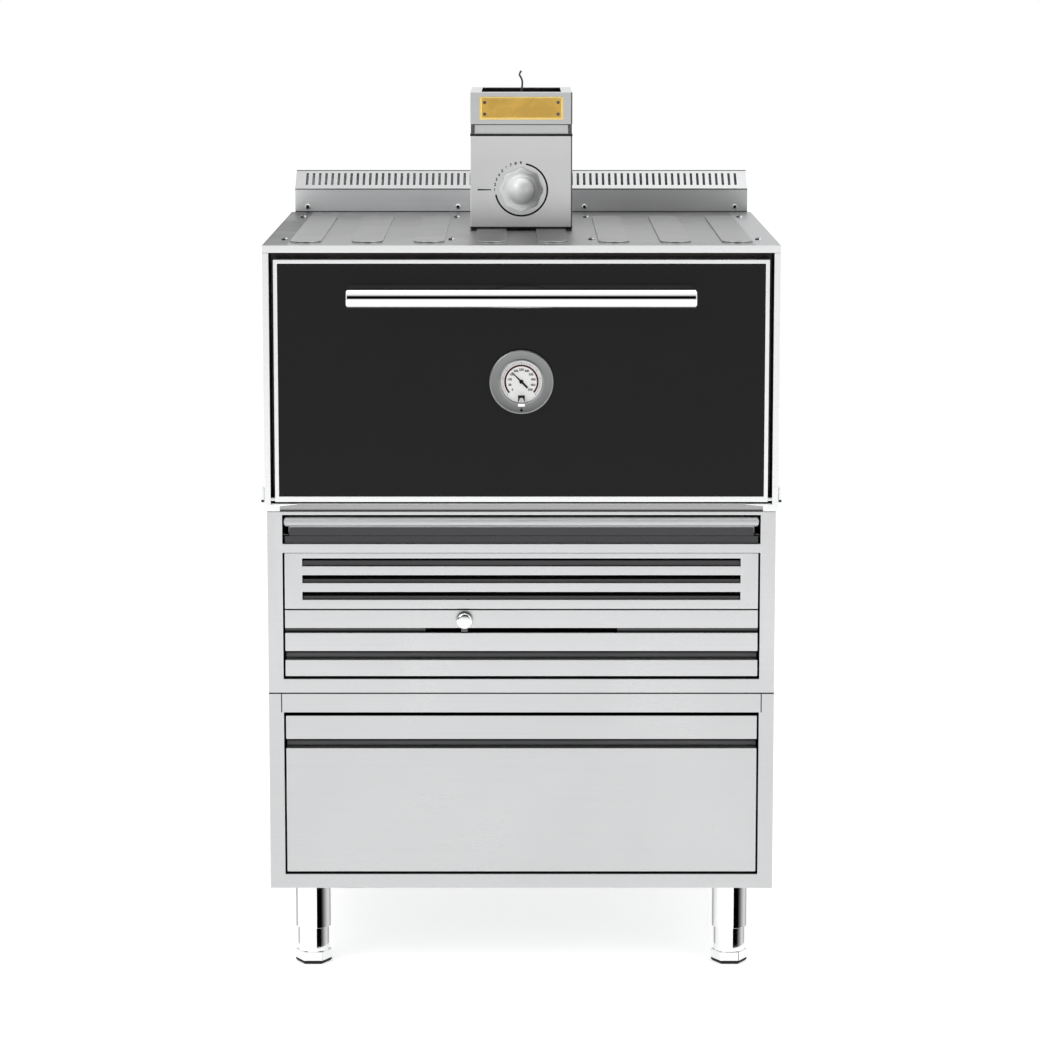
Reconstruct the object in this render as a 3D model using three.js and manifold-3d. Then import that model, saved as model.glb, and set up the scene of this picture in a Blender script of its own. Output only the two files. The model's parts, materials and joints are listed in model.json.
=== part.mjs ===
// Charcoal grill oven on a stand with an ash drawer and a storage drawer.
// Lengths are millimetres. X is across, Y runs from the front to the back and Z is up.
// The pieces are modelled with Y = 0 on the front of the casing, and the group then
// moves them so that the origin is on the floor under the middle of the whole oven.
import * as THREE from "three";
import { mergeVertices } from "three/addons/utils/BufferGeometryUtils.js";
import Module from "manifold-3d";

const wasm = await Module();
wasm.setup();

// Sizes shared by all pieces
const fit = 0.3; // gap between two pieces that touch
const runningFit = 0.6; // gap round a piece that turns or slides
const overrun = 6; // how far a cut runs past the face that it opens
const weldDistance = 0.0001; // corners closer than this are one corner
const sheet = 2; // steel sheet of the cabinet, the drawers and the ducts

// Facets round a full turn
const roundSides = 32;
const smallSides = 12;
const wireSides = 6;

// Feet and legs
const legHeight = 138.2;
const legDiameter = 56;
const legWall = 2.7;
const legTubeLength = 79;
const legInset = 63.4; // from the side of the cabinet to a leg's axis
const legSetback = 75; // from the front or the back of the cabinet to a leg's axis
const footHexCorners = 58;
const footHexHeight = 20;
const footChamfer = 3;
const shankLength = 102;
const shankWall = 3;

// Cabinet, in two storeys
const cabinetSideInset = 3.6; // cabinet's side inside the casing's side
const cabinetBackInset = 24; // cabinet's back before the casing's back
const postWidth = 23.9; // front frame's uprights
const frameDepth = 20; // front frame, front to back
const lowerBottomRail = 22.8;
const drawerBayHeight = 260;
const lowerTopRail = 30.4;
const storeyJoint = 0.7;
const upperBottomRail = 22.4;
const ventBayHeight = 200;
const crossRail = 14.2;
const trayBayHeight = 45.5;
const upperTopRail = 5.5;

// Storage drawer
const frontSideGap = 3;
const drawerBottomGap = 4;
const drawerTopGap = 5;
const drawerLip = 37.5;
const drawerGrip = 14.5;
const gripDepth = 22;
const frontReturn = 18;
const runnerSideGap = 3.3; // from the outer runner to the side of the bay
const drawerBoxDepth = 600;
const drawerBoxHeight = 205;
const drawerBoxLift = 10; // box floor above the lower edge of the front
const drawerTravel = 500;

// Telescopic runners of the storage drawer
const runnerOverlap = 60; // still inside the runner with the drawer pulled right out
const runnerSetback = 28;
const runnerHeight = 44;
const runnerStepDown = 6; // each inner member is this much lower in section
const runnerThickness = 4.2;
const runnerCentreHeight = 95; // above the box floor
const spacerLength = 50;
const spacerInset = 40; // from a runner's end to its spacer

// Ash drawer
const ashBottomGap = 4.5;
const ashStrip = 26;
const ashGrip = 14;
const ashLip = 29;
const ashBoxSideGap = 27.5; // from the box to the side of the bay
const ashBoxDepth = 560;
const ashBoxHeight = 52;
const ashBoxLift = 7;
const ashGuideLedge = 14;
const ashGuideHeight = 30;

// Air regulator over the ash drawer
const slotHeight = 7.7;
const slotHalfLength = 150;
const regulatorHeight = 28.3;
const regulatorRecess = 3.7; // slotted lower edge behind the front
const regulatorKnobX = -89; // where the knob stands at rest
const regulatorKnobDiameter = 25;
const regulatorKnobDepth = 10;
const regulatorKnobHeight = 13.3; // axis above the rail's lower edge
const regulatorStemWidth = 10;
const regulatorStemThickness = 3;
const regulatorStemDrop = 2; // below the rail's lower edge
const regulatorStandOff = 4; // stem's upright in front of the rail
const regulatorPlateWidth = 60;
const regulatorPlateHeight = 22;

// Vent panel
const panelGap = 2;
const ventPanelDepth = 18;
const ventSideMargin = 27.5; // from a slot's end to the panel's end
const ventSlotHeight = 12.4;
const ventSlotCount = 3;
const ventSlotPitch = 26.5;
const ventTopMargin = 8.4; // from the panel's top edge to the first slot

// Drip tray under the door
const trayLipDiameter = 15.5;
const trayLipTopGap = 3.2; // under the cabinet's top rail
const trayLipSideGap = 2.6;
const trayLipSetback = 4; // lip's axis behind the front
const trayLipChamfer = 2.5;
const trayDepth = 246;
const trayPanHeight = 22;
const trayPanSideGap = 10.5;
const trayWall = 1.6;
const trayGuideLedge = 20;
const trayGuideHeight = 24;

// Oven casing
const casingWidth = 800;
const casingDepth = 769;
const casingStrip = 10; // front edge beside the door
const casingStripDepth = 72;
const casingBottomRail = 11;
const doorBottomGap = 4;
const doorHeight = 377;
const doorTopGap = 10.4;
const doorSideGap = 7;
const plateFold = 11.6; // top plate's front and side folds
const ribHeight = 3;
const ribWidth = 48;
const ribPitch = 96;
const ribsPerSide = 4;
const ribStart = 41; // from the front edge
const ribBackMargin = 139;
const ribEndSteps = 5;
const screwHeadDiameter = 9;
const screwHeadHeight = 2.6;
const screwRowFront = 120;
const screwBackMargin = 141;
const screwSideMargin = 28;
const screwInnerX = 110;

// Rear upstand and rear duct
const upstandSideInset = 6;
const upstandRise = 41;
const slopeRise = 29;
const slopeDepth = 50;
const upstandDrop = 60; // back leg, under the slope's top edge
const slotMargin = 20; // from the end of the upstand to the first slot's middle
const slotPitch = 11;
const airSlotWidth = 4.4;
const airSlotShare = 0.66; // share of the slope that a slot takes
const ductHeight = 330;
const ductTopGap = 4;
const ductSideInset = 50;

// Chamber inside the casing
const doorThickness = 45;
const doorProud = 1; // door's face in front of the casing
const gasketThickness = 6;
const gasketWidth = 14;
const collarThickness = 3;
const linerWall = 3;
const linerSideInset = 48; // from the casing's side to the liner
const linerFloorHeight = 55; // above the casing's bottom
const linerTopInset = 32; // under the casing's top
const linerBackInset = 34;
const ashHoleWidth = 250;
const ashHoleDepth = 210;
const ashHoleStart = 285; // from the front of the casing

// Grates and the food grill
const grateSideGap = 39;
const grateBackGap = 62;
const grateStart = 110;
const grateHeight = 18;
const grateSlots = 14;
const grateSlotWidth = 14;
const grateRim = 24;
const emberGuardHeight = 70;
const emberGuardThickness = 6;
const emberGuardGap = 14; // in front of the grate
const grillHeight = 180; // above the liner's floor
const grillSideGap = 2;
const grillBackGap = 50;
const grillStart = 92;
const grillThickness = 10;
const grillRim = 10;
const grillBars = 22;
const grillBarWidth = 8;
const grillTravel = 30;
const grillBearing = 10; // how far the grill lies on each ledge
const grillLedgeHeight = 12;

// Door
const rimSide = 6.2;
const rimTop = 6;
const rimBottom = 8.5;
const panelThickness = 3.7;
const doorWall = 2;
const innerPanelThickness = 2.7;
const hingeSetback = 5; // pin's axis behind the door's face
const hingeRise = 3.5; // pin's axis above the door's lower edge
const pinDiameter = 6;
const knuckleDiameter = 10;
const knuckleLength = 22;
const bracketThickness = 3.7;
const bracketHeight = 24;
const bracketDepth = 26;
const bracketDrop = 5.5; // plate's lower edge under the pin
const bracketFront = 7; // plate's front edge before the pin
const pinHeadHeight = 1;
const pinHeadDiameter = 9;

// Door handle
const handleLength = 536;
const handleDiameter = 30;
const handleWall = 2;
const handlePlugLength = 8;
const handleChamfer = 2;
const handleStandOff = 50; // tube's axis in front of the door
const handleDrop = 56; // tube's axis under the door's top edge
const postInset = 58; // from the handle's end to the outer post's centre
const postDiameter = 18;
const flangeLength = 108;
const flangeHeight = 34;
const flangeThickness = 3;
const screwBore = 6;

// Thermometer
const gaugeRise = 188.5; // centre above the door's lower edge
const bezelDiameter = 100;
const bezelThickness = 9;
const bezelChamfer = 2.5;
const dialDiameter = 65;
const dialThickness = 2.4;
const lensThickness = 1.5;
const lensSetback = 1.2;
const needleLength = 21;
const needleTail = 8;
const needleWidth = 2.4;
const needleTipShare = 0.25; // share of the needle's width left at its tip
const needleThickness = 0.8;
const needleHubDiameter = 6;
const needlePinDiameter = 2;
const needleGap = 0.7; // over the dial
const needlePinFit = 0.1;
const needleRestDegrees = 45; // turned left of straight up
const probeDiameter = 8;
const probeReach = 30; // past the door's inner face
const probeHole = 12;

// Chimney: flue duct, damper housing and firebreak
const housingWidth = 165;
const housingDepth = 250;
const housingSetback = 319; // from the casing's front
const housingHeight = 152.4;
const housingFlange = 12;
const flueWidth = 126;
const flueDepth = 128;
const flueRise = 134; // above the top plate
const knobRise = 66; // damper's axis above the top plate
const shaftDiameter = 10;
const knobSkirtDiameter = 71;
const knobLobes = 8;
const knobLobeDepth = 3;
const knobLobeSteps = 6;
const knobSkirtDepth = 12;
const knobDomeDiameter = 44;
const knobDomeDepth = 16;
const knobDomeRings = 5;
const flapThickness = 2;
const skirtHeight = 16;
const skirtInset = 7;
const firebreakHeight = 51;
const topFlangeSide = 18;
const topFlangeEnd = 22;
const floorLedge = 26; // firebreak's inner floor that holds the arrestor
const cornerPinDiameter = 6;
const arrestorHeight = 42;
const arrestorFit = 2;
const arrestorSlots = 9;
const arrestorSlotWidth = 8;
const braceWidth = 8;
const braceHeight = 5;
const hookWire = 3.2;
const hookRise = 36;
const hookLean = 3.3;
const hookSteps = 10;
const badgeWidth = 135;
const badgeHeight = 37;
const badgeThickness = 1.5;
const badgeDrop = 7; // under the firebreak's top edge

// Places worked out from the sizes above
const casingHalf = casingWidth / 2;
const cabinetHalf = casingHalf - cabinetSideInset;
const cabinetDepth = casingDepth - cabinetBackInset;
const bayHalf = cabinetHalf - postWidth;
const frontHalf = bayHalf - frontSideGap;
const lowerBottom = legHeight;
const drawerBayBottom = lowerBottom + lowerBottomRail;
const drawerBayTop = drawerBayBottom + drawerBayHeight;
const lowerTop = drawerBayTop + lowerTopRail;
const upperBottom = lowerTop + storeyJoint;
const ventBayBottom = upperBottom + upperBottomRail;
const ventBayTop = ventBayBottom + ventBayHeight;
const trayBayBottom = ventBayTop + crossRail;
const trayBayTop = trayBayBottom + trayBayHeight;
const upperTop = trayBayTop + upperTopRail;
const casingBottom = upperTop + fit;
const casingBayBottom = casingBottom + casingBottomRail;
const doorBottom = casingBayBottom + doorBottomGap;
const doorTop = doorBottom + doorHeight;
const casingTop = doorTop + doorTopGap;
const plateTop = casingTop + plateFold;
const doorHalf = casingHalf - casingStrip - doorSideGap;
const doorFront = -doorProud;
const doorBack = doorFront + doorThickness;
const pinY = doorFront + hingeSetback;
const pinZ = doorBottom + hingeRise;
const collarFront = doorBack + fit + gasketThickness + fit;
const collarBack = collarFront + collarThickness;
const linerFront = collarBack + fit;
const linerBack = casingDepth - linerBackInset;
const linerHalf = casingHalf - linerSideInset;
const linerBottom = casingBottom + linerFloorHeight;
const linerTop = casingTop - linerTopInset;
const chamberFloor = linerBottom + linerWall;
const chamberHalf = linerHalf - linerWall;
const chamberBack = linerBack - linerWall;
const grillHalf = chamberHalf - grillSideGap;
const grateHalf = chamberHalf - grateSideGap;
const handleY = doorFront - handleStandOff;
const handleZ = doorTop - handleDrop;
const gaugeZ = doorBottom + gaugeRise;
const chimneyHalf = housingWidth / 2;
const chimneyBack = housingSetback + housingDepth;
const chimneyY = (housingSetback + chimneyBack) / 2;
const housingBottom = plateTop + ribHeight + fit;
const housingTop = housingBottom + housingHeight;
const skirtBottom = housingTop + fit;
const firebreakBottom = skirtBottom + skirtHeight;
const firebreakTop = firebreakBottom + firebreakHeight;
const damperZ = plateTop + knobRise;
const drawerFrontBottom = drawerBayBottom + drawerBottomGap;
const drawerFrontTop = drawerBayTop - drawerTopGap;
const ashFrontBottom = ventBayBottom + ashBottomGap;
const ashFrontTop = ashFrontBottom + ashStrip + ashGrip + ashLip;
const regulatorBottom = ashFrontTop + slotHeight;
const regulatorTop = regulatorBottom + regulatorHeight;
const ventBottom = regulatorTop + panelGap;
const ventTop = ventBayTop - fit;
const ashBoxHalf = bayHalf - ashBoxSideGap;
const runnerStep = runnerThickness + fit;
const drawerBoxHalf = bayHalf - runnerSideGap - runnerThickness - 2 * runnerStep;
const upstandFront = casingDepth - sheet;
const slopeBottom = plateTop + upstandRise;
const slopeTop = slopeBottom + slopeRise;
const upstandBack = casingDepth + slopeDepth;
const upstandHalf = casingHalf - upstandSideInset;
const boxFront = gripDepth + sheet + fit;
const chuteHalf = ashHoleWidth / 2;
const chuteFront = ashHoleStart;
const chuteBack = ashHoleStart + ashHoleDepth;

// Colours and finishes
const steel = { color: 0xc9cbcd, roughness: 0.34, metalness: 0.9 };
const dullSteel = { color: 0x9a9c9e, roughness: 0.5, metalness: 0.85 };
const darkSteel = { color: 0x4c4d4f, roughness: 0.6, metalness: 0.7 };
const polishedSteel = { color: 0xe4e6e8, roughness: 0.08, metalness: 1 };
const blackPanel = { color: 0x171819, roughness: 0.12, metalness: 0 };
const castIron = { color: 0x2b2b2c, roughness: 0.85, metalness: 0.5 };
const brass = { color: 0xd9a93a, roughness: 0.3, metalness: 1 };
const whiteFace = { color: 0xf3f2ee, roughness: 0.5, metalness: 0 };
const needleBlack = { color: 0x111111, roughness: 0.5, metalness: 0 };
const clearGlass = { color: 0xffffff, roughness: 0.05, metalness: 0, transparent: true, opacity: 0.35 };
const wool = { color: 0xd8d2c0, roughness: 1, metalness: 0 };

// A low and a high value, the same distance each side of zero or of a middle.
const across = (half) => [-half, half];
const about = (middle, half) => [middle - half, middle + half];

// A closed geometry as a solid that can be joined and cut.
function solidFrom(geometry) {
  const source = geometry.index ? geometry.toNonIndexed() : geometry;
  const bare = new THREE.BufferGeometry();
  bare.setAttribute("position", source.getAttribute("position"));
  const merged = mergeVertices(bare, weldDistance);
  const vertProperties = merged.attributes.position.array;
  const triVerts = new Uint32Array(merged.index.array);
  return new wasm.Manifold(new wasm.Mesh({ numProp: 3, vertProperties, triVerts }));
}

// A solid as a three.js geometry again.
function geometryFrom(solid) {
  const mesh = solid.getMesh();
  const geometry = new THREE.BufferGeometry();
  const positions = new Float32Array(mesh.numVert * 3);
  for (let i = 0; i < mesh.numVert; i += 1) {
    positions.set(mesh.vertProperties.subarray(i * mesh.numProp, i * mesh.numProp + 3), i * 3);
  }
  geometry.setAttribute("position", new THREE.BufferAttribute(positions, 3));
  geometry.setIndex(new THREE.BufferAttribute(new Uint32Array(mesh.triVerts), 1));
  geometry.computeVertexNormals();
  return geometry;
}

function joined(...geometries) {
  return geometryFrom(geometries.map(solidFrom).reduce((whole, piece) => whole.add(piece)));
}

function cut(geometry, ...tools) {
  const whole = solidFrom(geometry);
  return geometryFrom(tools.map(solidFrom).reduce((rest, tool) => rest.subtract(tool), whole));
}

// A box between two places on each axis.
function block([x0, x1], [y0, y1], [z0, z1]) {
  const box = new THREE.BoxGeometry(x1 - x0, y1 - y0, z1 - z0);
  return box.translate((x0 + x1) / 2, (y0 + y1) / 2, (z0 + z1) / 2);
}

// A round bar along one axis, centred at two places on the other two axes in X, Y, Z order.
function bar(axis, diameter, [from, to], [first, second], sides = roundSides) {
  const geometry = new THREE.CylinderGeometry(diameter / 2, diameter / 2, to - from, sides);
  const middle = (from + to) / 2;
  if (axis === "x") return geometry.rotateZ(Math.PI / 2).translate(middle, first, second);
  if (axis === "z") return geometry.rotateX(Math.PI / 2).translate(first, second, middle);
  return geometry.translate(first, middle, second);
}

// A profile of [radius, place] points turned round an axis; it starts and ends on the axis
// or closes on itself, and runs so that the solid lies on its left.
function turned(axis, profile, [first, second], sides = roundSides) {
  const points = profile.map(([radius, place]) => new THREE.Vector2(radius, place));
  const geometry = new THREE.LatheGeometry(points, sides);
  if (axis === "x") return geometry.rotateZ(-Math.PI / 2).translate(0, first, second);
  if (axis === "z") return geometry.rotateX(Math.PI / 2).translate(first, second, 0);
  return geometry.translate(first, 0, second);
}

function shapeOf(points) {
  return new THREE.Shape(points.map(([a, b]) => new THREE.Vector2(a, b)));
}

// A shape drawn in Y and Z, run along X.
function runAlongX(shape, [x0, x1]) {
  const geometry = new THREE.ExtrudeGeometry(shape, { depth: x1 - x0, bevelEnabled: false });
  const yAxis = new THREE.Vector3(0, 1, 0);
  const zAxis = new THREE.Vector3(0, 0, 1);
  const xAxis = new THREE.Vector3(1, 0, 0);
  return geometry.applyMatrix4(new THREE.Matrix4().makeBasis(yAxis, zAxis, xAxis)).translate(x0, 0, 0);
}

// A shape drawn in X and Z, as seen from the front, run along Y.
function runAlongY(shape, [y0, y1]) {
  const geometry = new THREE.ExtrudeGeometry(shape, { depth: y1 - y0, bevelEnabled: false });
  return geometry.rotateX(Math.PI / 2).translate(0, y1, 0);
}

// A plate with a row of equal slots through it, inside a rim.
function slottedPlate([x0, x1], [y0, y1], [z0, z1], count, width, rim) {
  const pitch = (x1 - x0 - 2 * rim + width) / (count + 1);
  const slots = [];
  for (let i = 1; i <= count; i += 1) {
    const middle = x0 + rim - width / 2 + i * pitch;
    slots.push(block(about(middle, width / 2), [y0 + rim, y1 - rim], [z0 - overrun, z1 + overrun]));
  }
  return cut(block([x0, x1], [y0, y1], [z0, z1]), ...slots);
}

const pieces = new THREE.Group();

function place(name, geometry, finish) {
  const mesh = new THREE.Mesh(geometry, new THREE.MeshStandardMaterial(finish));
  mesh.name = name;
  pieces.add(mesh);
}

// The same piece on both sides: make(side) gets -1 for the left and 1 for the right.
function placePair(name, make, finish) {
  place(name + "_left", make(-1), finish);
  place(name + "_right", make(1), finish);
}

// A low and a high X on one side of the middle, from two distances.
const onSide = (side, near, far) => (side > 0 ? [near, far] : [-far, -near]);

// Feet and legs
function legTube(x, y) {
  const outer = legDiameter / 2;
  const inner = outer - legWall;
  const top = legHeight - fit;
  const bottom = legHeight - legTubeLength;
  const profile = [
    [inner, bottom], [outer, bottom], [outer, top], [0, top], [0, top - legWall], [inner, top - legWall],
    [inner, bottom],
  ];
  return turned("z", profile, [x, y]);
}

// The foot's shank slides in the leg tube, so its diameter follows from the tube's bore.
function foot(x, y) {
  const shank = legDiameter / 2 - legWall - fit;
  const bore = shank - shankWall;
  const top = footHexHeight + shankLength;
  const profile = [
    [0, footHexHeight - fit], [shank, footHexHeight - fit], [shank, top], [bore, top],
    [bore, footHexHeight + shankWall], [0, footHexHeight + shankWall],
  ];
  const hexRadius = footHexCorners / 2;
  const hex = new THREE.CylinderGeometry(hexRadius, hexRadius, footHexHeight - footChamfer, 6);
  const sole = new THREE.CylinderGeometry(hexRadius, hexRadius - footChamfer, footChamfer, 6);
  hex.translate(0, (footHexHeight + footChamfer) / 2, 0);
  sole.translate(0, footChamfer / 2, 0);
  for (const step of [hex, sole]) {
    step.rotateY(Math.PI / 6);
    step.rotateX(Math.PI / 2);
    step.rotateZ(Math.PI / 3);
    step.translate(x, y, 0);
  }
  return joined(turned("z", profile, [x, y]), hex, sole);
}

function placeLegs() {
  const rows = { front: legSetback, back: cabinetDepth - legSetback };
  for (const [row, y] of Object.entries(rows)) {
    placePair("leg_" + row, (side) => legTube(side * (cabinetHalf - legInset), y), polishedSteel);
    placePair("foot_" + row, (side) => foot(side * (cabinetHalf - legInset), y), polishedSteel);
  }
}

// Cabinet: one storey is a sheet box with a deeper frame round its front
function storey(bottom, top, bays, tools) {
  const shell = block(across(cabinetHalf), [0, cabinetDepth], [bottom, top]);
  const hollow = block(
    across(cabinetHalf - sheet), [frameDepth, cabinetDepth - sheet], [bottom + sheet, top - sheet]);
  const through = [-overrun, frameDepth + overrun];
  const mouths = bays.map((bay) => block(across(bayHalf), through, bay));
  return cut(shell, hollow, ...mouths, ...tools);
}

function placeCabinet() {
  const lower = storey(lowerBottom, lowerTop, [[drawerBayBottom, drawerBayTop]], []);
  const chuteHole = block(
    across(chuteHalf + sheet + fit), [chuteFront - sheet - fit, chuteBack + sheet + fit],
    [trayBayTop, upperTop + overrun]);
  const bays = [[ventBayBottom, ventBayTop], [trayBayBottom, trayBayTop]];
  place("lower_cabinet", lower, steel);
  place("upper_cabinet", storey(upperBottom, upperTop, bays, [chuteHole]), steel);
}

// A drawer front is one folded sheet: a strip, a channel for the fingers and a lip over it
function gripFront(bottom, top, lip, grip) {
  const gripTop = top - lip;
  const gripBottom = gripTop - grip;
  const back = gripDepth + sheet;
  const outline = [
    [0, bottom], [frontReturn, bottom], [frontReturn, bottom + sheet], [sheet, bottom + sheet],
    [sheet, gripBottom - sheet], [back, gripBottom - sheet], [back, top], [0, top], [0, gripTop],
    [sheet, gripTop], [sheet, top - sheet], [gripDepth, top - sheet], [gripDepth, gripBottom],
    [0, gripBottom],
  ];
  return runAlongX(shapeOf(outline), across(frontHalf));
}

// A drawer box open at the top, behind its front
function drawerBox(half, depth, bottom, height) {
  const outside = block(across(half), [boxFront, boxFront + depth], [bottom, bottom + height]);
  const inside = block(
    across(half - sheet), [boxFront + sheet, boxFront + depth - sheet],
    [bottom + sheet, bottom + height + overrun]);
  return cut(outside, inside);
}

const drawerFloor = drawerFrontBottom + drawerBoxLift;
const runnerZ = drawerFloor + runnerCentreHeight;
const runnerLength = drawerTravel + runnerOverlap;

// A runner's three members, counted from the drawer outwards
const drawerStep = 0;
const middleStep = 1;
const cabinetStep = 2;

function runnerMember(side, step) {
  const near = drawerBoxHalf + step * runnerStep;
  const half = (runnerHeight - (cabinetStep - step) * runnerStepDown) / 2;
  const y = [runnerSetback, runnerSetback + runnerLength];
  return block(onSide(side, near, near + runnerThickness), y, about(runnerZ, half));
}

function storageDrawerBox() {
  const box = drawerBox(drawerBoxHalf, drawerBoxDepth, drawerFloor, drawerBoxHeight);
  return joined(box, runnerMember(-1, drawerStep), runnerMember(1, drawerStep));
}

// The outer member stands on two spacers that reach out to the cabinet's side.
function outerRunner(side) {
  const near = drawerBoxHalf + 2 * runnerStep;
  const reach = onSide(side, near + runnerThickness / 2, cabinetHalf - sheet - fit);
  const starts = [runnerSetback + spacerInset, runnerSetback + runnerLength - spacerInset - spacerLength];
  const z = about(runnerZ, runnerHeight / 2);
  const spacers = starts.map((start) => block(reach, [start, start + spacerLength], z));
  return joined(runnerMember(side, cabinetStep), ...spacers);
}

function placeStorageDrawer() {
  place("storage_drawer_front", gripFront(drawerFrontBottom, drawerFrontTop, drawerLip, drawerGrip), steel);
  place("storage_drawer_box", storageDrawerBox(), dullSteel);
  placePair("drawer_runner_outer", outerRunner, dullSteel);
  placePair("drawer_runner_middle", (side) => runnerMember(side, middleStep), dullSteel);
}

const ashBoxBottom = ashFrontBottom + ashBoxLift;

function placeAshDrawer() {
  place("ash_drawer_front", gripFront(ashFrontBottom, ashFrontTop, ashLip, ashGrip), steel);
  place("ash_drawer_box", drawerBox(ashBoxHalf, ashBoxDepth, ashBoxBottom, ashBoxHeight), dullSteel);
}

// Air regulator: a folded rail with a slot under it, a carriage behind it and a knob in front
function regulatorRail() {
  const back = regulatorRecess + sheet;
  const front = block(across(frontHalf), [0, sheet], [regulatorBottom, regulatorTop]);
  const fold = block(across(frontHalf), [0, back], [regulatorBottom, regulatorBottom + sheet]);
  const top = block(across(frontHalf), [0, frontReturn], [regulatorTop - sheet, regulatorTop]);
  const edge = block(
    across(frontHalf), [regulatorRecess, back], [ashFrontTop + runningFit, regulatorBottom + sheet]);
  const slot = block(
    across(slotHalfLength), [regulatorRecess - overrun, back + overrun],
    [ashFrontTop - overrun, regulatorBottom]);
  return cut(joined(front, fold, top, edge), slot);
}

function regulatorCarriage() {
  const width = about(regulatorKnobX, regulatorStemWidth / 2);
  const back = regulatorRecess + sheet + fit;
  const stemTop = regulatorBottom - regulatorStemDrop;
  const stemBottom = stemTop - regulatorStemThickness;
  const front = -regulatorStandOff;
  const plateBottom = regulatorBottom + sheet;
  const plate = block(
    about(regulatorKnobX, regulatorPlateWidth / 2), [back, back + sheet],
    [plateBottom, plateBottom + regulatorPlateHeight]);
  const hanger = block(width, [back, back + sheet], [stemBottom, plateBottom + sheet]);
  const stem = block(width, [front - sheet, back + sheet], [stemBottom, stemTop]);
  const upright = block(width, [front - sheet, front], [stemBottom, regulatorBottom + regulatorKnobHeight]);
  return joined(plate, hanger, stem, upright);
}

function regulatorKnob() {
  const back = -regulatorStandOff - sheet - fit;
  const radius = regulatorKnobDiameter / 2;
  const edge = regulatorKnobDepth / 4;
  const front = back - regulatorKnobDepth;
  const profile = [
    [0, front], [radius - edge, front], [radius, front + edge], [radius, back - edge], [radius - edge, back],
    [0, back],
  ];
  return turned("y", profile, [regulatorKnobX, regulatorBottom + regulatorKnobHeight]);
}

// Vent panel: a shallow pan with long level slots
function ventPanel() {
  const pan = block(across(frontHalf), [0, ventPanelDepth], [ventBottom, ventTop]);
  const back = block(
    across(frontHalf - sheet), [sheet, ventPanelDepth + overrun], [ventBottom + sheet, ventTop - sheet]);
  const slots = [];
  for (let i = 0; i < ventSlotCount; i += 1) {
    const top = ventTop - ventTopMargin - i * ventSlotPitch;
    const z = [top - ventSlotHeight, top];
    slots.push(block(across(frontHalf - ventSideMargin), [-overrun, sheet + overrun], z));
  }
  return cut(pan, back, ...slots);
}

function placeVentAndRegulator() {
  place("vent_panel", ventPanel(), steel);
  place("regulator_rail", regulatorRail(), steel);
  place("regulator_carriage", regulatorCarriage(), darkSteel);
  place("regulator_knob", regulatorKnob(), polishedSteel);
}

// Drip tray: a shallow pan behind a rolled front lip
const trayLipTop = trayBayTop - trayLipTopGap;
const trayHalf = bayHalf - trayPanSideGap;
const trayTop = trayLipTop - trayLipDiameter / 2;
const trayBottom = trayTop - trayPanHeight;

function dripTray() {
  const back = trayLipSetback + trayDepth;
  const pan = block(across(trayHalf), [trayLipSetback, back], [trayBottom, trayTop]);
  const hollow = block(
    across(trayHalf - trayWall), [trayLipSetback + trayWall, back - trayWall],
    [trayBottom + trayWall, trayTop + overrun]);
  const half = bayHalf - trayLipSideGap;
  const radius = trayLipDiameter / 2;
  const edge = radius - trayLipChamfer;
  const profile = [
    [0, -half], [edge, -half], [radius, trayLipChamfer - half], [radius, half - trayLipChamfer], [edge, half],
    [0, half],
  ];
  const lip = turned("x", profile, [trayLipSetback, trayTop], smallSides);
  return joined(cut(pan, hollow), cut(lip, hollow));
}

// A ledge with a low lip, under one side of a sliding pan
function ledge(side, panHalf, width, panBottom, lipHeight, y) {
  const wall = cabinetHalf - sheet - fit;
  const top = panBottom - fit;
  const near = panHalf + runningFit;
  const shelf = block(onSide(side, panHalf - width, wall), y, [top - sheet, top]);
  const lip = block(onSide(side, near, near + sheet), y, [top - sheet, top + lipHeight]);
  return joined(shelf, lip);
}

// Side frame in the upper cabinet: a plate with a ledge for the ash drawer and one for the tray
function sideGuide(side) {
  const wall = cabinetHalf - sheet - fit;
  const y = [boxFront, cabinetDepth - sheet - fit];
  const plate = block(
    onSide(side, wall - sheet, wall), y, [ashBoxBottom - fit - sheet, trayBottom + trayGuideHeight]);
  const low = ledge(side, ashBoxHalf, ashGuideLedge, ashBoxBottom, ashGuideHeight, y);
  const high = ledge(side, trayHalf, trayGuideLedge, trayBottom, trayGuideHeight, y);
  return joined(plate, low, high);
}

function placeTray() {
  place("drip_tray", dripTray(), steel);
  placePair("side_guide", sideGuide, dullSteel);
}

// Oven casing: open at the front and the top
function casing() {
  const shell = block(across(casingHalf), [0, casingDepth], [casingBottom, casingTop]);
  const hollow = block(
    across(casingHalf - sheet), [casingStripDepth, casingDepth - sheet],
    [casingBottom + sheet, casingTop + overrun]);
  const mouth = block(
    across(casingHalf - casingStrip), [-overrun, casingStripDepth + overrun],
    [casingBayBottom, casingTop + overrun]);
  const chuteHole = block(
    across(chuteHalf + sheet + fit), [chuteFront - sheet - fit, chuteBack + sheet + fit],
    [casingBottom - overrun, casingBottom + sheet + overrun]);
  const boreSpan = [-casingHalf - overrun, casingHalf + overrun];
  const pinBore = bar("x", pinDiameter + 2 * fit, boreSpan, [pinY, pinZ], smallSides);
  return cut(shell, hollow, mouth, chuteHole, pinBore);
}

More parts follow.
